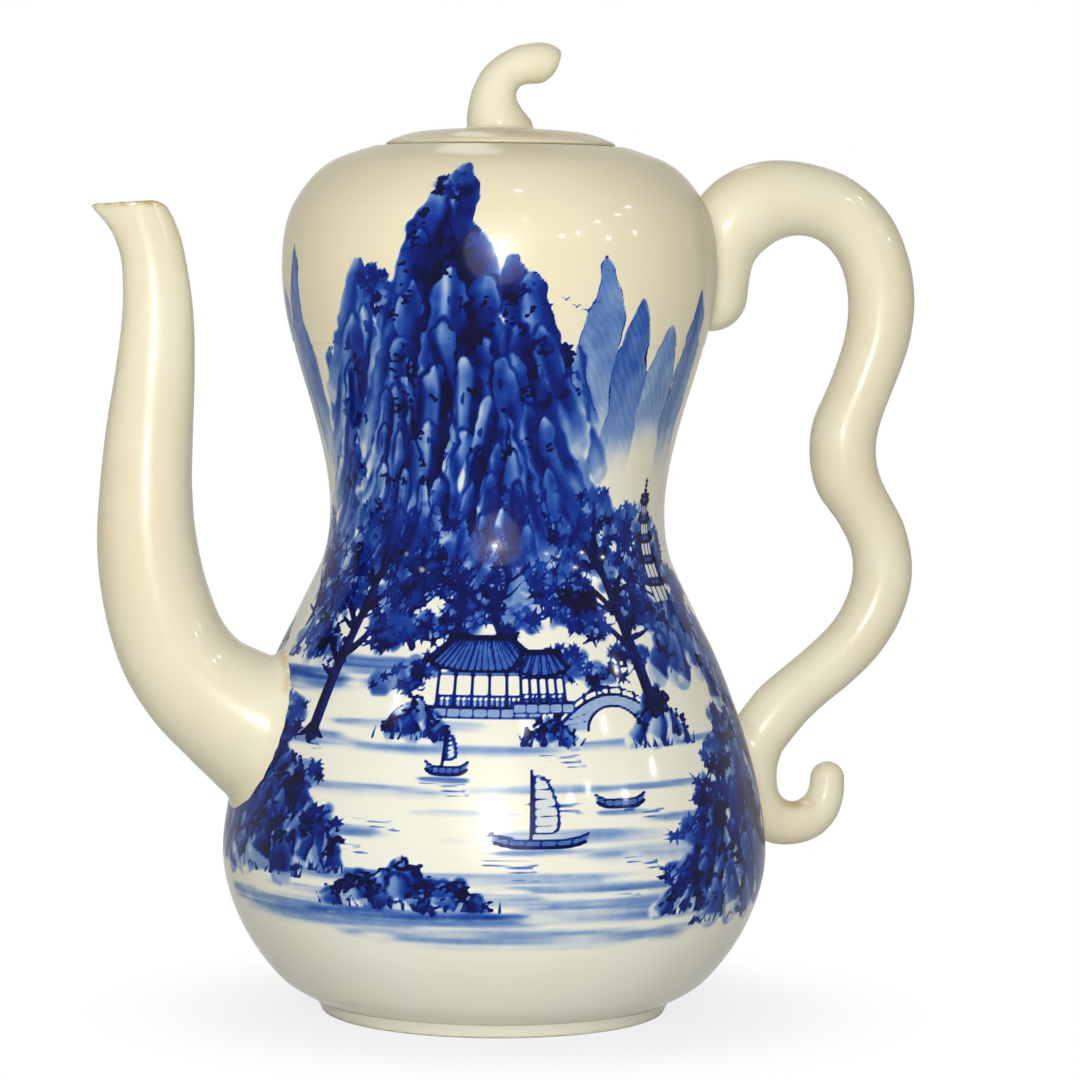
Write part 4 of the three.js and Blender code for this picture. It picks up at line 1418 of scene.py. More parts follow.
def paint_grove(brush):
    # Woods between the mountain and the water, on both sides of the waist.
    for longitude, height, half_width, half_height, tone in (
            (-92, 108, 7, 6, 0.7), (-80, 104, 7, 6, 0.84), (-2, 118, 8, 5, 0.8),
            (-52, 110, 7, 5, 0.86), (12, 112, 8, 5, 0.86), (-14, 108, 9, 5.5, 0.92),
            (-28, 103, 8, 6, 0.98), (-40, 106, 7.5, 5.5, 0.95), (-34, 114, 7, 4.5, 0.84),
            (-18, 98, 8, 5, 0.98), (-44, 97, 8.5, 6, 0.98), (4, 100, 8, 5.5, 0.95),
            (36, 112, 7, 5, 0.76), (48, 106, 7.5, 6, 0.86), (60, 98, 7, 5, 0.9),
            (-66, 114, 6, 4, 0.7), (-8, 92, 6, 3.6, 0.92), (-32, 91, 6, 3.6, 0.94),
            (-62, 98, 7, 5.5, 0.9), (-22, 92, 6.5, 4, 1), (-45, 89, 7, 3.8, 0.96),
            (10, 93, 7.5, 4.4, 0.98), (22, 103, 8, 5, 0.92), (30, 95, 7, 4.6, 0.95),
            (-74, 95, 7, 4.6, 0.86), (-40, 79, 7, 2.8, 0.86), (-33, 82, 5, 2.4, 0.9),
            (12, 81, 7, 2.8, 0.88), (3, 84, 6, 2.8, 0.92), (24, 84, 5, 3, 0.9)):
        brush.foliage(longitude, height, half_width, half_height, tone, 1.9, 1.05)
    for points in (
            [(-36, 86), (-39, 92), (-36, 98), (-39, 106)], [(-26, 87), (-23, 94), (-26, 102)],
            [(-11, 87), (-14, 94), (-10, 100), (-13, 108)], [(46, 92), (43, 98), (47, 106)],
            [(-82, 84), (-79, 92), (-84, 100), (-80, 106)]):
        brush.trunk(points, 0.75, 0.86, 6)


def paint_big_tree(brush, foot, lean, height, spread):
    """A broad tree in the foreground, with its boughs and leaf masses."""
    tone = 0.95
    longitude, ground = foot
    bole = [
        (longitude, ground), (longitude + 0.25 * lean, ground + 0.3 * height),
        (longitude + 0.55 * lean, ground + 0.58 * height),
        (longitude + lean, ground + 0.92 * height)]
    brush.trunk(bole, 1.25, tone, 5)
    brush.trunk([(x + 1.3, z) for x, z in bole], 0.5, 0.8, 2)
    for side in (-1, 1):
        start = brush.place(longitude, ground + 3)
        brush.stroke([start, start + [side * 1.6, -1.8], start + [side * 3.4, -3]], 0.8, tone)
    for share, side, reach, half_width, half_height in (
            (0.4, -1, 11, 5.6, 4.2), (0.46, 1, 12, 6, 4.4), (0.62, -1, 13, 6.4, 5),
            (0.68, 1, 12, 6.2, 5), (0.84, -1, 9, 6.4, 5), (0.88, 1, 9.5, 6, 5),
            (1.02, 0, 1, 7, 5)):
        root = brush.place(longitude + 0.9 * lean * share, ground + height * share * 0.86)
        end = brush.place(longitude + 0.9 * lean * share, ground + height * share)
        end = end + [side * reach * spread, 3]
        bend = (root + end) / 2 + [0, 2]
        brush.stroke([root, bend, end], 0.65, tone, press=0.9)
        turn = math.degrees(end[0] / CANVAS_RADIUS) + SEAM_LONGITUDE
        brush.foliage(turn, end[1], half_width * spread, half_height, tone, 2, 1.1)


def paint_water(brush):
    # Level washes, the last ones at the sides and the back, and then short ripples.
    for longitude, height, half_length, half_height, tone in (
            (-70, 78, 24, 2.6, 0.4), (-48, 82, 20, 2.2, 0.36), (-24, 65, 26, 1.3, 0.26),
            (22, 66, 26, 1.4, 0.24), (-46, 56, 22, 1.6, 0.2), (4, 47, 24, 1.8, 0.2),
            (32, 43, 24, 2.2, 0.24), (-62, 47, 22, 2, 0.28), (-12, 38, 30, 1.8, 0.18),
            (22, 31, 34, 3.2, 0.26), (-52, 29, 34, 3.4, 0.24), (-6, 25, 38, 2.6, 0.2),
            (-66, 66, 22, 2, 0.26), (-34, 70, 20, 1.2, 0.24), (-2, 57, 18, 1.1, 0.2),
            (44, 35, 24, 3, 0.32), (-34, 29, 32, 1.6, 0.36), (14, 36, 24, 1.2, 0.3),
            (-56, 38, 24, 1.8, 0.36), (26, 57, 18, 1, 0.26), (-30, 34, 30, 1.4, 0.22),
            (36, 50, 18, 1.2, 0.26), (-20, 52, 12, 0.8, 0.18), (0, 33, 20, 1, 0.18),
            (60, 56, 24, 2, 0.15), (-96, 60, 20, 2, 0.16), (120, 52, 30, 2, 0.15),
            (100, 40, 26, 2.2, 0.17), (-154, 48, 26, 2.2, 0.18), (-126, 62, 24, 2, 0.19),
            (-164, 70, 20, 2, 0.18), (138, 64, 18, 1.8, 0.18)):
        brush.wet(longitude, height, half_length, half_height, tone)
    for longitude, height, length in (
            (-30, 58, 9), (-8, 54, 12), (14, 52, 9), (-44, 50, 8), (26, 40, 11), (-18, 42, 12),
            (-58, 40, 9), (6, 36, 10), (40, 50, 8), (-34, 33, 9), (-4, 64, 8), (-66, 66, 8),
            (-20, 48, 10), (20, 46, 9), (-50, 45, 7), (12, 42, 8), (-12, 38, 9)):
        start = brush.place(longitude, height)
        for ripple in range(4):
            shift = np.array([1.7 * ripple, -0.8 * ripple])
            wave = [start + shift, start + shift + [length * 0.5, 0.3],
                    start + shift + [length * (1 - 0.2 * ripple), 0]]
            brush.stroke(wave, 0.17, 0.42, press=0.3)


def paint_rocks(brush, rocks):
    """Rocks by the water, each with moss and with reeds at its foot."""
    for longitude, base, height, half_width, dark in rocks:
        rows = 3 if height > 15 else 2
        sweep = 0.3 if longitude % 2 else -0.3
        brush.mountain(longitude, base, height, half_width, 0, dark, rows, sweep, misty=False)
        brush.moss(longitude, base + 0.2 * height, base + height, half_width, 10)
        brush.reeds(longitude, base, half_width * 1.2, 14)


def paint_shore(brush):
    # Low banks, boulders and what stands on them, from the far shore to the near one.
    paint_rocks(brush, (
        (-96, 64, 24, 12, 0.72), (-70, 82, 12, 11, 0.66), (48, 80, 16, 12, 0.74),
        (63, 74, 18, 11, 0.84)))
    brush.pagoda(46, 95, 5.6, 5)
    brush.foliage(38, 92, 5, 3.4, 0.85, 1.2, 1.2)
    brush.foliage(54, 93, 5.4, 3.6, 0.85, 1.2, 1.2)
    brush.bridge(15, 69, 11.5, 6.2)
    brush.pavilion(-17, 74, 11, 8, 6.6)
    brush.pavilion(-2, 75, 5.6, 6, 4.6)
    paint_rocks(brush, (
        (28, 65, 12, 7.5, 0.84), (-1, 66, 6, 5, 0.8), (-33, 67, 8, 7, 0.88)))
    # The dark rocks of the near banks, right and left.
    paint_rocks(brush, (
        (63, 34, 44, 12, 0.9), (50, 32, 34, 11, 0.98), (38, 31, 22, 9, 0.95),
        (57, 27, 24, 11, 1), (45, 26, 15, 9.5, 1), (30, 29, 9, 6, 0.88),
        (-90, 44, 36, 12, 0.9), (-76, 40, 34, 12, 0.98), (-64, 38, 24, 10, 0.96),
        (-86, 36, 16, 10, 1), (-54, 38, 13, 8, 0.92), (-70, 36, 14, 10, 1)))
    for longitude, height, half_width, half_height in (
            (40, 54, 6, 4.6), (33, 46, 5.6, 4), (52, 68, 6.2, 4.6), (59, 54, 5, 4),
            (46, 62, 5.6, 4), (-70, 70, 6.4, 4.6), (-84, 74, 6.4, 5), (-60, 58, 5.2, 3.8),
            (-51, 49, 4.2, 3), (28, 38, 4.4, 3)):
        brush.foliage(longitude, height, half_width, half_height, 0.95, 1.8, 1.1)
    # A long islet in the stream.
    paint_rocks(brush, (
        (-33, 31, 10, 12, 1), (-22, 31, 6, 8, 0.92), (-43, 31, 6, 8, 0.94)))
    brush.wet(-33, 30, 24, 1.2, 0.42)


def paint_back(brush):
    for longitude, base, height, half_width, lean, dark, rows, sweep in (
            (115, 106, 34, 9, -1, 0.74, 3, -0.3), (143, 106, 38, 10, 1, 0.72, 3, 0.3),
            (129, 104, 56, 13, 1, 0.86, 5, -0.3), (-140, 104, 32, 9.5, 0, 0.64, 3, 0.3)):
        brush.mountain(longitude, base, height, half_width, lean, dark, rows, sweep)
    for longitude, height, half_width, half_height in (
            (112, 98, 7, 5), (124, 96, 8, 5.5), (138, 97, 7, 5), (-136, 92, 7, 5),
            (-148, 90, 6, 4.5), (118, 104, 6, 4), (132, 104, 6, 4), (-142, 98, 6, 4)):
        brush.foliage(longitude, height, half_width, half_height, 0.82, 1.3, 1.1)
    paint_rocks(brush, (
        (126, 72, 14, 14, 0.66), (-140, 70, 12, 13, 0.66), (92, 50, 16, 10, 0.88),
        (84, 44, 22, 10, 0.92), (-128, 44, 12, 9, 0.84), (-118, 42, 8, 7, 0.88)))
    brush.pavilion(128, 86, 7, 6, 5)
    brush.boat(158, 56, 7, 8)
    brush.boat(-172, 62, 5)
    brush.birds(150, 150, 4)


def paint_landscape():
    brush = Brush(20)
    paint_peaks(brush)
    paint_water(brush)
    paint_mountain(brush)
    paint_grove(brush)
    paint_shore(brush)
    paint_big_tree(brush, (-60, 66), 8, 44, 0.9)
    paint_big_tree(brush, (27, 72), -7, 40, 0.85)
    brush.boat(-4, 45, 8.5, 13)
    brush.boat(14, 53, 5)
    brush.boat(-24, 60, 4, 6.5)
    brush.birds(0, 160, 5)
    brush.birds(-66, 150, 3)
    paint_back(brush)
    # Leaves over the cleft left of the main peak.
    brush.foliage(-45, 162, 3.4, 3.4, 0.95, 1, 1.1)
    return brush


def sampled(canvas, u, v):
    """Values of the painting's plane at points, taken smoothly between its cells."""
    height, width = canvas.shape
    x = u / CANVAS_CELL - 0.5
    y = np.clip(v / CANVAS_CELL - 0.5, 0, height - 1.001)
    column = np.floor(x).astype(int)
    row = np.floor(y).astype(int)
    across = x - column
    up = y - row
    left = column % width
    right = (column + 1) % width
    low = canvas[row, left] * (1 - across) + canvas[row, right] * across
    high = canvas[row + 1, left] * (1 - across) + canvas[row + 1, right] * across
    return low * (1 - up) + high * up


def lay_painting(piece, brush):
    points = piece_points(piece)
    across = points[:, 0] - AXIS_X
    radius = np.hypot(across, points[:, 1])
    outside = np.abs(radius - body_radius(points[:, 2])) < 0.3
    longitude = np.arctan2(across, -points[:, 1]) - math.radians(SEAM_LONGITUDE)
    u = (longitude % (2 * math.pi)) * CANVAS_RADIUS
    for name, canvas in (
            ("cobalt_cover", brush.cover), ("cobalt_tone", brush.tone),
            ("cobalt_wash", brush.wash)):
        set_values(piece, name, np.where(outside, sampled(canvas, u, points[:, 2]), 0.0))


# Glazes

class Nodes:
    """Adds and joins shader nodes in a material or a group."""

    def __init__(self, tree):
        self.tree = tree

    def link(self, output, socket):
        self.tree.links.new(output, socket)

    def add(self, kind, values=None, **settings):
        node = self.tree.nodes.new(kind)
        for name, value in settings.items():
            setattr(node, name, value)
        for name, value in (values or {}).items():
            if isinstance(value, bpy.types.NodeSocket):
                self.link(value, node.inputs[name])
            else:
                node.inputs[name].default_value = value
        return node

    def math(self, operation, first, second, third=0.5):
        values = {0: first, 1: second, 2: third}
        return self.add("ShaderNodeMath", values, operation=operation).outputs[0]

    def step(self, value, low, high):
        """A smooth rise from 0 at low to 1 at high."""
        values = {"Value": value, "From Min": low, "From Max": high}
        node = self.add("ShaderNodeMapRange", values, interpolation_type="SMOOTHSTEP")
        return node.outputs["Result"]

    def blend(self, share, low, high):
        """A mix of two colours."""
        values = {0: share, 6: low, 7: high}
        return self.add("ShaderNodeMix", values, data_type="RGBA").outputs[2]

    def noise(self, place, scale, detail=2.0):
        values = {"Vector": place, "Scale": scale, "Detail": detail}
        return self.add("ShaderNodeTexNoise", values).outputs["Fac"]

    def object_place(self):
        return self.add("ShaderNodeTexCoord").outputs["Object"]

    def value_of(self, attribute):
        """A value that was set at each point of the mesh."""
        return self.add("ShaderNodeAttribute", attribute_name=attribute).outputs["Fac"]

    def seen_directly(self):
        """1 for what the camera sees, also through or mirrored in a surface, and 0 for light."""
        rays = self.add("ShaderNodeLightPath").outputs
        seen = self.math("MAXIMUM", rays["Is Camera Ray"], rays["Is Transmission Ray"])
        return self.math("MAXIMUM", seen, rays["Is Glossy Ray"])


def start_group(name, inputs, outputs):
    group = bpy.data.node_groups.new(name, "ShaderNodeTree")
    for title, kind, value in inputs:
        socket = group.interface.new_socket(name=title, in_out="INPUT", socket_type=kind)
        socket.default_value = value
    for title, kind in outputs:
        group.interface.new_socket(name=title, in_out="OUTPUT", socket_type=kind)
    entry = group.nodes.new("NodeGroupInput")
    leave = group.nodes.new("NodeGroupOutput")
    return group, Nodes(group), entry.outputs, leave.inputs


def opaque(color):
    return (*color, 1.0)


# How many times each pattern of the glaze repeats in a metre.
POOL_SCALE = 38.0
RAGGED_SCALE = 420.0
SPECK_SCALE = 62.0
SWELL_SCALE = 75.0
PEEL_SCALE = 620.0
BLOT_SCALE = 330.0
IRON = (0.16, 0.11, 0.06)


def fired_glaze_group():
    """Glaze that pools and thins, with a few iron specks and a slightly uneven surface."""
    group, nodes, given, result = start_group(
        "Fired glaze",
        [("Glaze", "NodeSocketColor", (0.8, 0.8, 0.7, 1)),
         ("Thick", "NodeSocketColor", (0.8, 0.8, 0.7, 1)),
         ("Thin", "NodeSocketColor", (0.5, 0.4, 0.2, 1)),
         ("Thin and shaded mask", "NodeSocketFloat", 0.0)],
        [("Color", "NodeSocketColor"), ("Height", "NodeSocketFloat")])
    place = nodes.object_place()
    pool = nodes.step(nodes.noise(place, POOL_SCALE, 3.0), 0.38, 0.66)
    color = nodes.blend(pool, given["Glaze"], given["Thick"])
    # The thin mask also carries painted shade on the lid's slope.
    ragged = nodes.step(nodes.noise(place, RAGGED_SCALE), 0.25, 0.6)
    mask = nodes.math("MULTIPLY", given["Thin and shaded mask"], ragged)
    color = nodes.blend(mask, color, given["Thin"])
    # A dot lies in the middle of each cell, and one cell in five shows its dot.
    cell = nodes.add("ShaderNodeTexVoronoi", {"Vector": place, "Scale": SPECK_SCALE})
    dot = nodes.step(cell.outputs["Distance"], 0.030, 0.014)
    lot = nodes.add("ShaderNodeSeparateColor", {"Color": cell.outputs["Color"]}).outputs["Red"]
    speck = nodes.math("MULTIPLY", dot, nodes.step(lot, 0.80, 0.81))
    speck = nodes.math("MULTIPLY", speck, 0.75)
    color = nodes.blend(speck, color, opaque(IRON))
    nodes.link(color, result["Color"])
    swell = nodes.noise(place, SWELL_SCALE, 1.0)
    peel = nodes.math("MULTIPLY", nodes.noise(place, PEEL_SCALE, 1.0), 0.06)
    nodes.link(nodes.math("ADD", swell, peel), result["Height"])
    return group


# How dense the pigment lies, and its colour.
COBALT = (
    (0.12, (0.36, 0.48, 0.66)), (0.28, (0.135, 0.245, 0.51)), (0.42, (0.030, 0.100, 0.40)),
    (0.56, (0.004, 0.040, 0.29)), (0.70, (0.001, 0.015, 0.20)), (0.85, (0.0005, 0.004, 0.10)),
    (1.0, (0.0003, 0.001, 0.026)))


def cobalt_group():
    """Underglaze cobalt: strokes and washes that darken and spread like pigment in water."""
    group, nodes, given, result = start_group(
        "Cobalt brushwork",
        [("Ground", "NodeSocketColor", (0.8, 0.8, 0.7, 1)),
         ("Cover", "NodeSocketFloat", 0.0), ("Tone", "NodeSocketFloat", 0.7),
         ("Wash", "NodeSocketFloat", 0.0)],
        [("Color", "NodeSocketColor")])
    blots = nodes.noise(nodes.object_place(), BLOT_SCALE, 3.0)
    laid = nodes.step(given["Cover"], 0.28, 0.62)
    stroke = nodes.math("MULTIPLY", laid, given["Tone"])
    stroke = nodes.math("MULTIPLY", stroke, nodes.math("MULTIPLY_ADD", blots, 0.36, 0.84))
    uneven = nodes.math("MULTIPLY_ADD", blots, 0.4, 0.8)
    wash = nodes.math("MULTIPLY", given["Wash"], uneven)
    pigment = nodes.math("MAXIMUM", stroke, wash)
    ramp = nodes.add("ShaderNodeValToRGB", {"Fac": pigment})
    stops = ramp.color_ramp.elements
    stops.remove(stops[0])
    stops[0].position, stops[0].color = COBALT[0][0], opaque(COBALT[0][1])
    for position, color in COBALT[1:]:
        stops.new(position).color = opaque(color)
    color = nodes.blend(nodes.step(pigment, 0.0, 0.24), given["Ground"], ramp.outputs["Color"])
    nodes.link(color, result["Color"])
    return group


# The glaze is soft gloss under a clear coat, which the bare foot lacks.
GLAZE_ROUGHNESS = 0.22
BARE_ROUGHNESS = 0.62
COAT_WEIGHT = 0.55
COAT_IOR = 1.3
GLAZE_IOR = 1.5
BUMP_STRENGTH = 0.22
BUMP_DISTANCE = 0.0009
# Between these heights, in metres, the body's white glaze turns to ivory.
WHITE_TO_Z = 0.10
IVORY_FROM_Z = 0.17


def glazed(name, color, thick, thin, settings, groups, is_painted=False, is_bare_below=False):
    """A glazed surface. Where it is bare below, its thin parts are unglazed clay."""
    material = bpy.data.materials.new(name)
    material.use_nodes = True
    nodes = Nodes(material.node_tree)
    surface = material.node_tree.nodes["Principled BSDF"]
    # The mask marks thin glaze and bare clay, and painted shade on the lid's slope.
    mask = nodes.value_of("thin_glaze_and_shade")
    glaze = nodes.add("ShaderNodeGroup", {
        "Glaze": opaque(color), "Thick": opaque(thick), "Thin": opaque(thin),
        "Thin and shaded mask": mask}, node_tree=groups["glaze"])
    final = glaze.outputs["Color"]
    if is_painted:
        height = nodes.add("ShaderNodeSeparateXYZ", {"Vector": nodes.object_place()})
        high = nodes.step(height.outputs["Z"], WHITE_TO_Z, IVORY_FROM_Z)
        ground = nodes.blend(high, final, opaque(settings.ivory))
        values = {title: nodes.value_of("cobalt_" + title.lower())
                  for title in ("Cover", "Tone", "Wash")}
        painted = nodes.add(
            "ShaderNodeGroup", {"Ground": ground, **values}, node_tree=groups["cobalt"])
        final = painted.outputs["Color"]
    bump = nodes.add("ShaderNodeBump", {
        "Height": glaze.outputs["Height"], "Strength": BUMP_STRENGTH, "Distance": BUMP_DISTANCE})
    nodes.link(final, surface.inputs["Base Color"])
    nodes.link(bump.outputs["Normal"], surface.inputs["Normal"])
    surface.inputs["Roughness"].default_value = GLAZE_ROUGHNESS
    surface.inputs["IOR"].default_value = GLAZE_IOR
    surface.inputs["Specular IOR Level"].default_value = 0.0
    surface.inputs["Coat Weight"].default_value = COAT_WEIGHT
    surface.inputs["Coat IOR"].default_value = COAT_IOR
    surface.inputs["Coat Roughness"].default_value = settings.roughness
    if is_bare_below:
        rougher = BARE_ROUGHNESS - GLAZE_ROUGHNESS
        rough = nodes.math("MULTIPLY_ADD", mask, rougher, GLAZE_ROUGHNESS)
        coat = nodes.math("MULTIPLY_ADD", mask, -COAT_WEIGHT, COAT_WEIGHT)
        nodes.link(rough, surface.inputs["Roughness"])
        nodes.link(coat, surface.inputs["Coat Weight"])
    return material


# Studio

WHITE = (1.0, 1.0, 1.0)
COOL = (1.0, 0.985, 0.955)
MILD = (1.0, 0.97, 0.91)
WARM = (1.0, 0.93, 0.78)
# Places are in metres to the right of the pot's axis, towards the camera and up from the table.
LAMPS_AIM = (0.0, 0.0, 0.11)
FRONT_LAMP = (0.0, 0.92, 0.30)
BACK_LAMP = (-0.08, -0.96, 1.02)
# Lamps that light the pot: name, place, width and height, watts and colour.
LIGHTS = (
    ("soft key", (-0.15, 1.1, 0.75), (0.9, 0.9), 3.6, COOL),
    ("front lamp", FRONT_LAMP, (0.07, 0.07), 3.95, COOL),
    ("left fill", (-1.0, 0.4, 0.95), (0.4, 0.7), 1.75, WARM),
    ("right fill", (0.95, 0.6, 0.6), (0.35, 0.7), 0.55, WARM),
    ("low front", (0.1, 0.8, 0.05), (0.35, 0.1), 1.0, MILD),
    ("back fill", (0.1, -1.2, 0.7), (0.8, 0.8), 4.6, MILD),
)
# Disks that show only in the gloss, wide to narrow: size and watts. The ones behind the pot
# are stretched upwards.
FRONT_GLOW = ((0.58, 4.2), (0.45, 5.0), (0.35, 6.6), (0.25, 5.4), (0.15, 4.4), (0.06, 4.0))
BACK_GLOW = ((0.15, 0.4), (0.10, 0.3), (0.05, 0.1))
BACK_STRETCH = 3.2
# The small lamps of a shop, which make the sparkles: place and watts.
SHOP_LAMP_SIZE = 0.03
SHOP_LAMPS = (
    (-1.1, 0.83, 0.93, 1.0), (-1.4, 0.7, 0.6, 0.3), (0.2, 0.6, 1.65, 1.2), (0.36, 1.33, 0.96, 0.7),
    (0.87, 1.3, 0.6, 1.1), (1.05, 1.15, 0.64, 1.1), (1.2, 0.8, 0.86, 1.4), (1.3, 0.4, 1.0, 1.2),
    (1.3, 0.1, 1.15, 1.8), (1.37, 0.8, 0.54, 1.3), (1.5, 0.35, 0.58, 1.4))
FLOOR_EDGE = 3.0
FLOOR_ROUGHNESS = 0.9
FLOOR_COLOR = (0.42, 0.42, 0.41)
FLOOR_BOUNCE = (0.62, 0.62, 0.60)
ROOM_COLOR = (1.0, 0.96, 0.87)
ROOM_STRENGTH = 0.15
# The floor is white to the camera beyond the pot's soft shadow.
SHADOW_FROM = 0.04
SHADOW_TO = 0.10
SHADOW_SHARE = 0.18


def studio_matrix(azimuth):
    """Turns the studio about the pot's axis, so that the camera's side is at azimuth."""
    return Matrix.Translation((AXIS_X * MM, 0.0, 0.0)) @ Matrix.Rotation(azimuth, 4, "Z")


def studio_place(studio, place):
    aside, forward, up = place
    return studio @ Vector((aside, -forward, up))


def facing_matrix(place, target, roll=0.0):
    aim = (Vector(target) - Vector(place)).to_track_quat("-Z", "Y").to_matrix().to_4x4()
    return Matrix.Translation(place) @ aim @ Matrix.Rotation(roll, 4, "Z")


def add_lamp(name, studio, place, size, watts, color, shows_in_gloss):
    """An area lamp that either lights the surfaces or shows in their gloss."""
    data = bpy.data.lights.new(name, "AREA")
    data.shape = "ELLIPSE"
    data.size, data.size_y = size
    data.energy = watts
    data.color = color
    lamp = new_object(name, data)
    target = studio_place(studio, LAMPS_AIM)
    lamp.matrix_world = facing_matrix(studio_place(studio, place), target)
    lamp.visible_glossy = shows_in_gloss
    lamp.visible_diffuse = not shows_in_gloss
    lamp.visible_camera = False


def hang_lamps(studio):
    for name, place, size, watts, color in LIGHTS:
        add_lamp(name, studio, place, size, watts, color, False)
    for size, watts in FRONT_GLOW:
        add_lamp("front glow", studio, FRONT_LAMP, (size, size), watts, WHITE, True)
    for *place, watts in SHOP_LAMPS:
        size = (SHOP_LAMP_SIZE, SHOP_LAMP_SIZE)
        add_lamp("shop lamp", studio, place, size, watts, WHITE, True)
    for size, watts in BACK_GLOW:
        add_lamp("back glow", studio, BACK_LAMP, (size, BACK_STRETCH * size), watts, MILD, True)


def set_camera(scene, studio):
    settings = scene.winepot_camera
    data = bpy.data.cameras.new("camera")
    data.sensor_fit = "HORIZONTAL"
    data.sensor_width = 36.0
    data.lens = settings.lens
    data.clip_start = 0.01
    camera = new_object("camera", data)
    place = studio_place(studio, (settings.aside, settings.distance, settings.height))
    ahead = Vector((0.0, math.cos(settings.pitch), -math.sin(settings.pitch)))
    target = place + studio.to_3x3() @ ahead
    camera.matrix_world = facing_matrix(place, target, settings.roll)
    scene.camera = camera


def floor_material():
    """White to the camera far out, and a real surface with the pot's shadow near it."""
    material = bpy.data.materials.new("White floor")
    material.use_nodes = True
    nodes = Nodes(material.node_tree)
    surface = nodes.tree.nodes["Principled BSDF"]
    surface.inputs["Roughness"].default_value = FLOOR_ROUGHNESS
    surface.inputs["Specular IOR Level"].default_value = 0.0
    # The light that it throws up at the pot is a white table's.
    rays = nodes.add("ShaderNodeLightPath").outputs
    color = nodes.blend(rays["Is Diffuse Ray"], opaque(FLOOR_COLOR), opaque(FLOOR_BOUNCE))
    nodes.link(color, surface.inputs["Base Color"])
    far = nodes.add("ShaderNodeVectorMath", {0: nodes.object_place()}, operation="LENGTH")
    white = nodes.step(far.outputs["Value"], SHADOW_FROM, SHADOW_TO)
    white = nodes.math("MULTIPLY_ADD", white, SHADOW_SHARE, 1.0 - SHADOW_SHARE)
    share = nodes.math("MULTIPLY", nodes.seen_directly(), white)
    glow = nodes.add("ShaderNodeEmission", {"Color": opaque(WHITE), "Strength": 1.0})
    mixed = nodes.add("ShaderNodeMixShader", {
        0: share, 1: surface.outputs[0], 2: glow.outputs[0]})
    nodes.link(mixed.outputs[0], nodes.tree.nodes["Material Output"].inputs["Surface"])
    return material


def lay_floor():
    mesh = bpy.data.meshes.new("floor")
    corners = [(x, y, 0.0) for x, y in panel(0.0, FLOOR_EDGE, -FLOOR_EDGE, FLOOR_EDGE)]
    mesh.from_pydata(corners, [], [(0, 1, 2, 3)])
    mesh.materials.append(floor_material())
    new_object("floor", mesh)


def build_world():
    """White to the camera, and a dim warm room to the pot."""
    world = bpy.data.worlds.new("Studio")
    bpy.context.scene.world = world
    world.use_nodes = True
    nodes = Nodes(world.node_tree)
    room = nodes.add("ShaderNodeBackground", {
        "Color": opaque(ROOM_COLOR), "Strength": ROOM_STRENGTH})
    white = nodes.add("ShaderNodeBackground", {"Color": opaque(WHITE), "Strength": 1.0})
    mixed = nodes.add("ShaderNodeMixShader", {
        0: nodes.seen_directly(), 1: room.outputs[0], 2: white.outputs[0]})
    nodes.link(mixed.outputs[0], nodes.tree.nodes["World Output"].inputs["Surface"])


# Operators

class WINEPOT_OT_body(bpy.types.Operator):
    """Turn the body's four rings, the lid seat and the foot"""
    bl_idname = "winepot.body"
    bl_label = "Turn the body"

    def execute(self, context):
        settings = context.scene.winepot_mesh
        longitudes = body_longitudes(settings)
        row = settings.row / MM
        lower_bowl(longitudes, row)
        shoulder = ring_section("lower_shoulder", LOWER_SEAM_Z, WAIST_SEAM_Z, longitudes, row)
        drill(shoulder, spout_bore())
        ring_section("upper_bowl", WAIST_SEAM_Z, UPPER_SEAM_Z, longitudes, row)
        upper_shoulder(longitudes, row)
        lid_seat()
        foot_ring()
        return {"FINISHED"}


class WINEPOT_OT_spout(bpy.types.Operator):
    """Draw the swan-neck spout"""
    bl_idname = "winepot.spout"
    bl_label = "Draw the spout"

    def execute(self, context):
        spout(context.scene.winepot_mesh.slip / MM)
        return {"FINISHED"}


class WINEPOT_OT_handle(bpy.types.Operator):
    """Roll the handle and the curl at its lower end"""
    bl_idname = "winepot.handle"
    bl_label = "Roll the handle"

    def execute(self, context):
        slip = context.scene.winepot_mesh.slip / MM
        handle(slip)
        tail(slip)
        return {"FINISHED"}


class WINEPOT_OT_lid(bpy.types.Operator):
    """Turn the lid and its collar, and model its stalk knob"""
    bl_idname = "winepot.lid"
    bl_label = "Make the lid"

    def execute(self, context):
        lid_disc()
        lid_collar()
        lid_stalk()
        return {"FINISHED"}


class WINEPOT_OT_painting(bpy.types.Operator):
    """Paint the landscape on the body"""
    bl_idname = "winepot.painting"
    bl_label = "Paint the body"

    def execute(self, context):
        brush = paint_landscape()
        for name in PAINTED_RINGS:
            lay_painting(bpy.data.objects[fired(name)], brush)
        return {"FINISHED"}


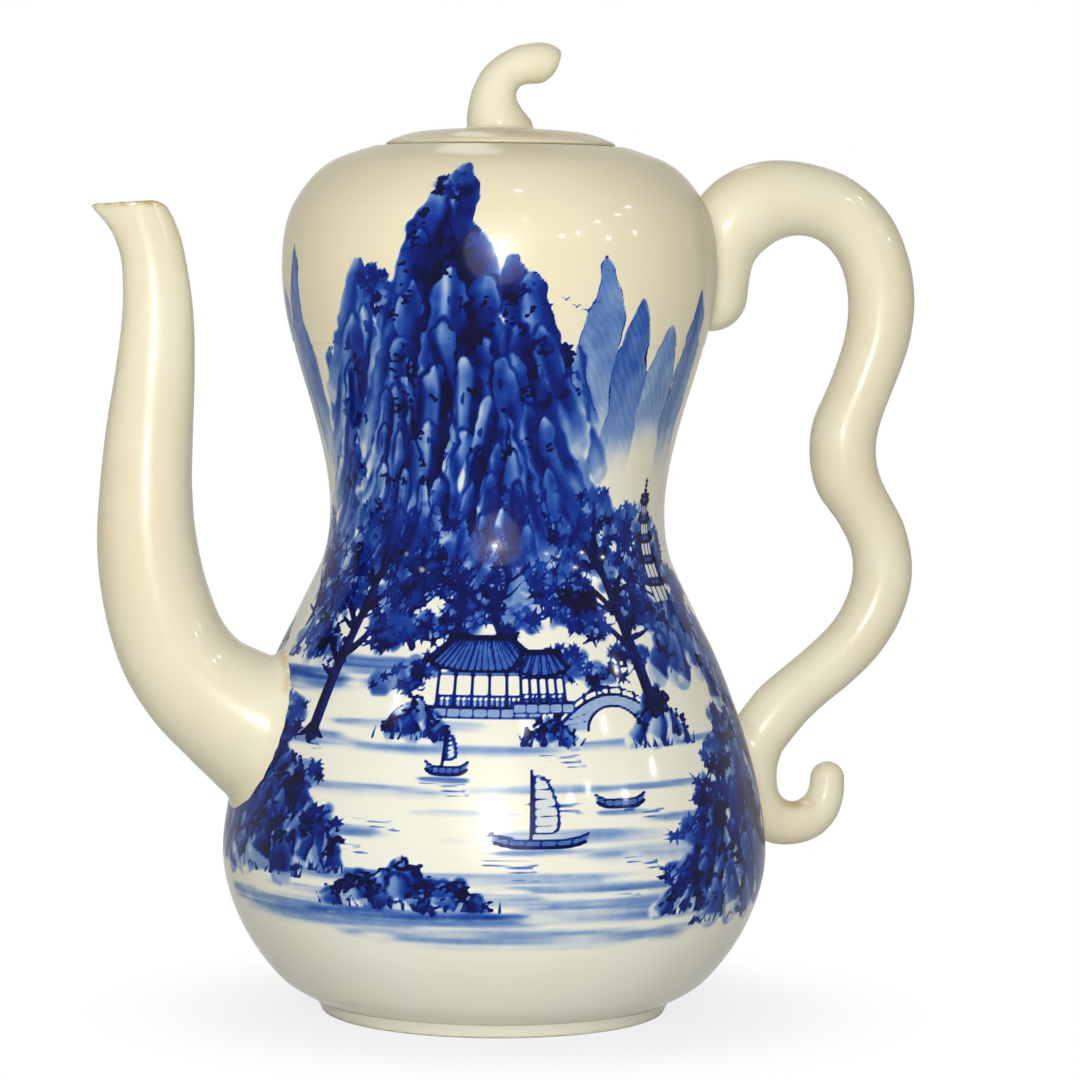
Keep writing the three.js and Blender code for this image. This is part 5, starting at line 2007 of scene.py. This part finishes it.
class WINEPOT_OT_glazes(bpy.types.Operator):
    """Mix the glazes and dress every piece"""
    bl_idname = "winepot.glazes"
    bl_label = "Glaze the pot"

    def execute(self, context):
        settings = context.scene.winepot_glaze
        groups = {"glaze": fired_glaze_group(), "cobalt": cobalt_group()}
        body = glazed("Painted glaze", settings.white, settings.white_thick, settings.scorched_and_shade,
                      settings, groups, is_painted=True)
        ivory = glazed("Ivory glaze", settings.ivory, settings.ivory_thick, settings.scorched_and_shade,
                       settings, groups)
        foot = glazed("Foot glaze", settings.white, settings.white_thick, settings.clay,
                      settings, groups, is_bare_below=True)
        dressing = {
            body: PAINTED_RINGS,
            ivory: ("lid_seat", "spout", "handle", "handle_tail", "lid_disc", "lid_collar",
                    "lid_stalk"),
            foot: ("foot_ring",),
        }
        for material, names in dressing.items():
            for name in names:
                piece = bpy.data.objects[fired(name)]
                piece.data.materials.clear()
                piece.data.materials.append(material)
        return {"FINISHED"}


class WINEPOT_OT_studio(bpy.types.Operator):
    """Build the floor, lamps and camera"""
    bl_idname = "winepot.studio"
    bl_label = "Build the studio"

    def execute(self, context):
        studio = studio_matrix(context.scene.winepot_camera.azimuth)
        set_camera(context.scene, studio)
        hang_lamps(studio)
        lay_floor()
        build_world()
        context.scene.view_settings.view_transform = "Standard"
        return {"FINISHED"}


class WINEPOT_PT_panel(bpy.types.Panel):
    bl_label = "Wine Pot"
    bl_idname = "WINEPOT_PT_panel"
    bl_space_type = "VIEW_3D"
    bl_region_type = "UI"
    bl_category = "Wine Pot"

    def draw(self, context):
        for step in STEPS:
            self.layout.operator(step.bl_idname)


STEPS = (
    WINEPOT_OT_body, WINEPOT_OT_spout, WINEPOT_OT_handle, WINEPOT_OT_lid, WINEPOT_OT_painting,
    WINEPOT_OT_glazes, WINEPOT_OT_studio,
)
SETTINGS = (WINEPOT_PG_glaze, WINEPOT_PG_mesh, WINEPOT_PG_camera)


def register():
    for part in SETTINGS + STEPS + (WINEPOT_PT_panel,):
        bpy.utils.register_class(part)
    bpy.types.Scene.winepot_glaze = PointerProperty(type=WINEPOT_PG_glaze)
    bpy.types.Scene.winepot_mesh = PointerProperty(type=WINEPOT_PG_mesh)
    bpy.types.Scene.winepot_camera = PointerProperty(type=WINEPOT_PG_camera)


def unregister():
    del bpy.types.Scene.winepot_camera
    del bpy.types.Scene.winepot_mesh
    del bpy.types.Scene.winepot_glaze
    for part in reversed(SETTINGS + STEPS + (WINEPOT_PT_panel,)):
        bpy.utils.unregister_class(part)


def main():
    register()
    bpy.ops.winepot.body()
    bpy.ops.winepot.spout()
    bpy.ops.winepot.handle()
    bpy.ops.winepot.lid()
    bpy.ops.winepot.painting()
    bpy.ops.winepot.glazes()
    bpy.ops.winepot.studio()


if __name__ == "__main__":
    main()
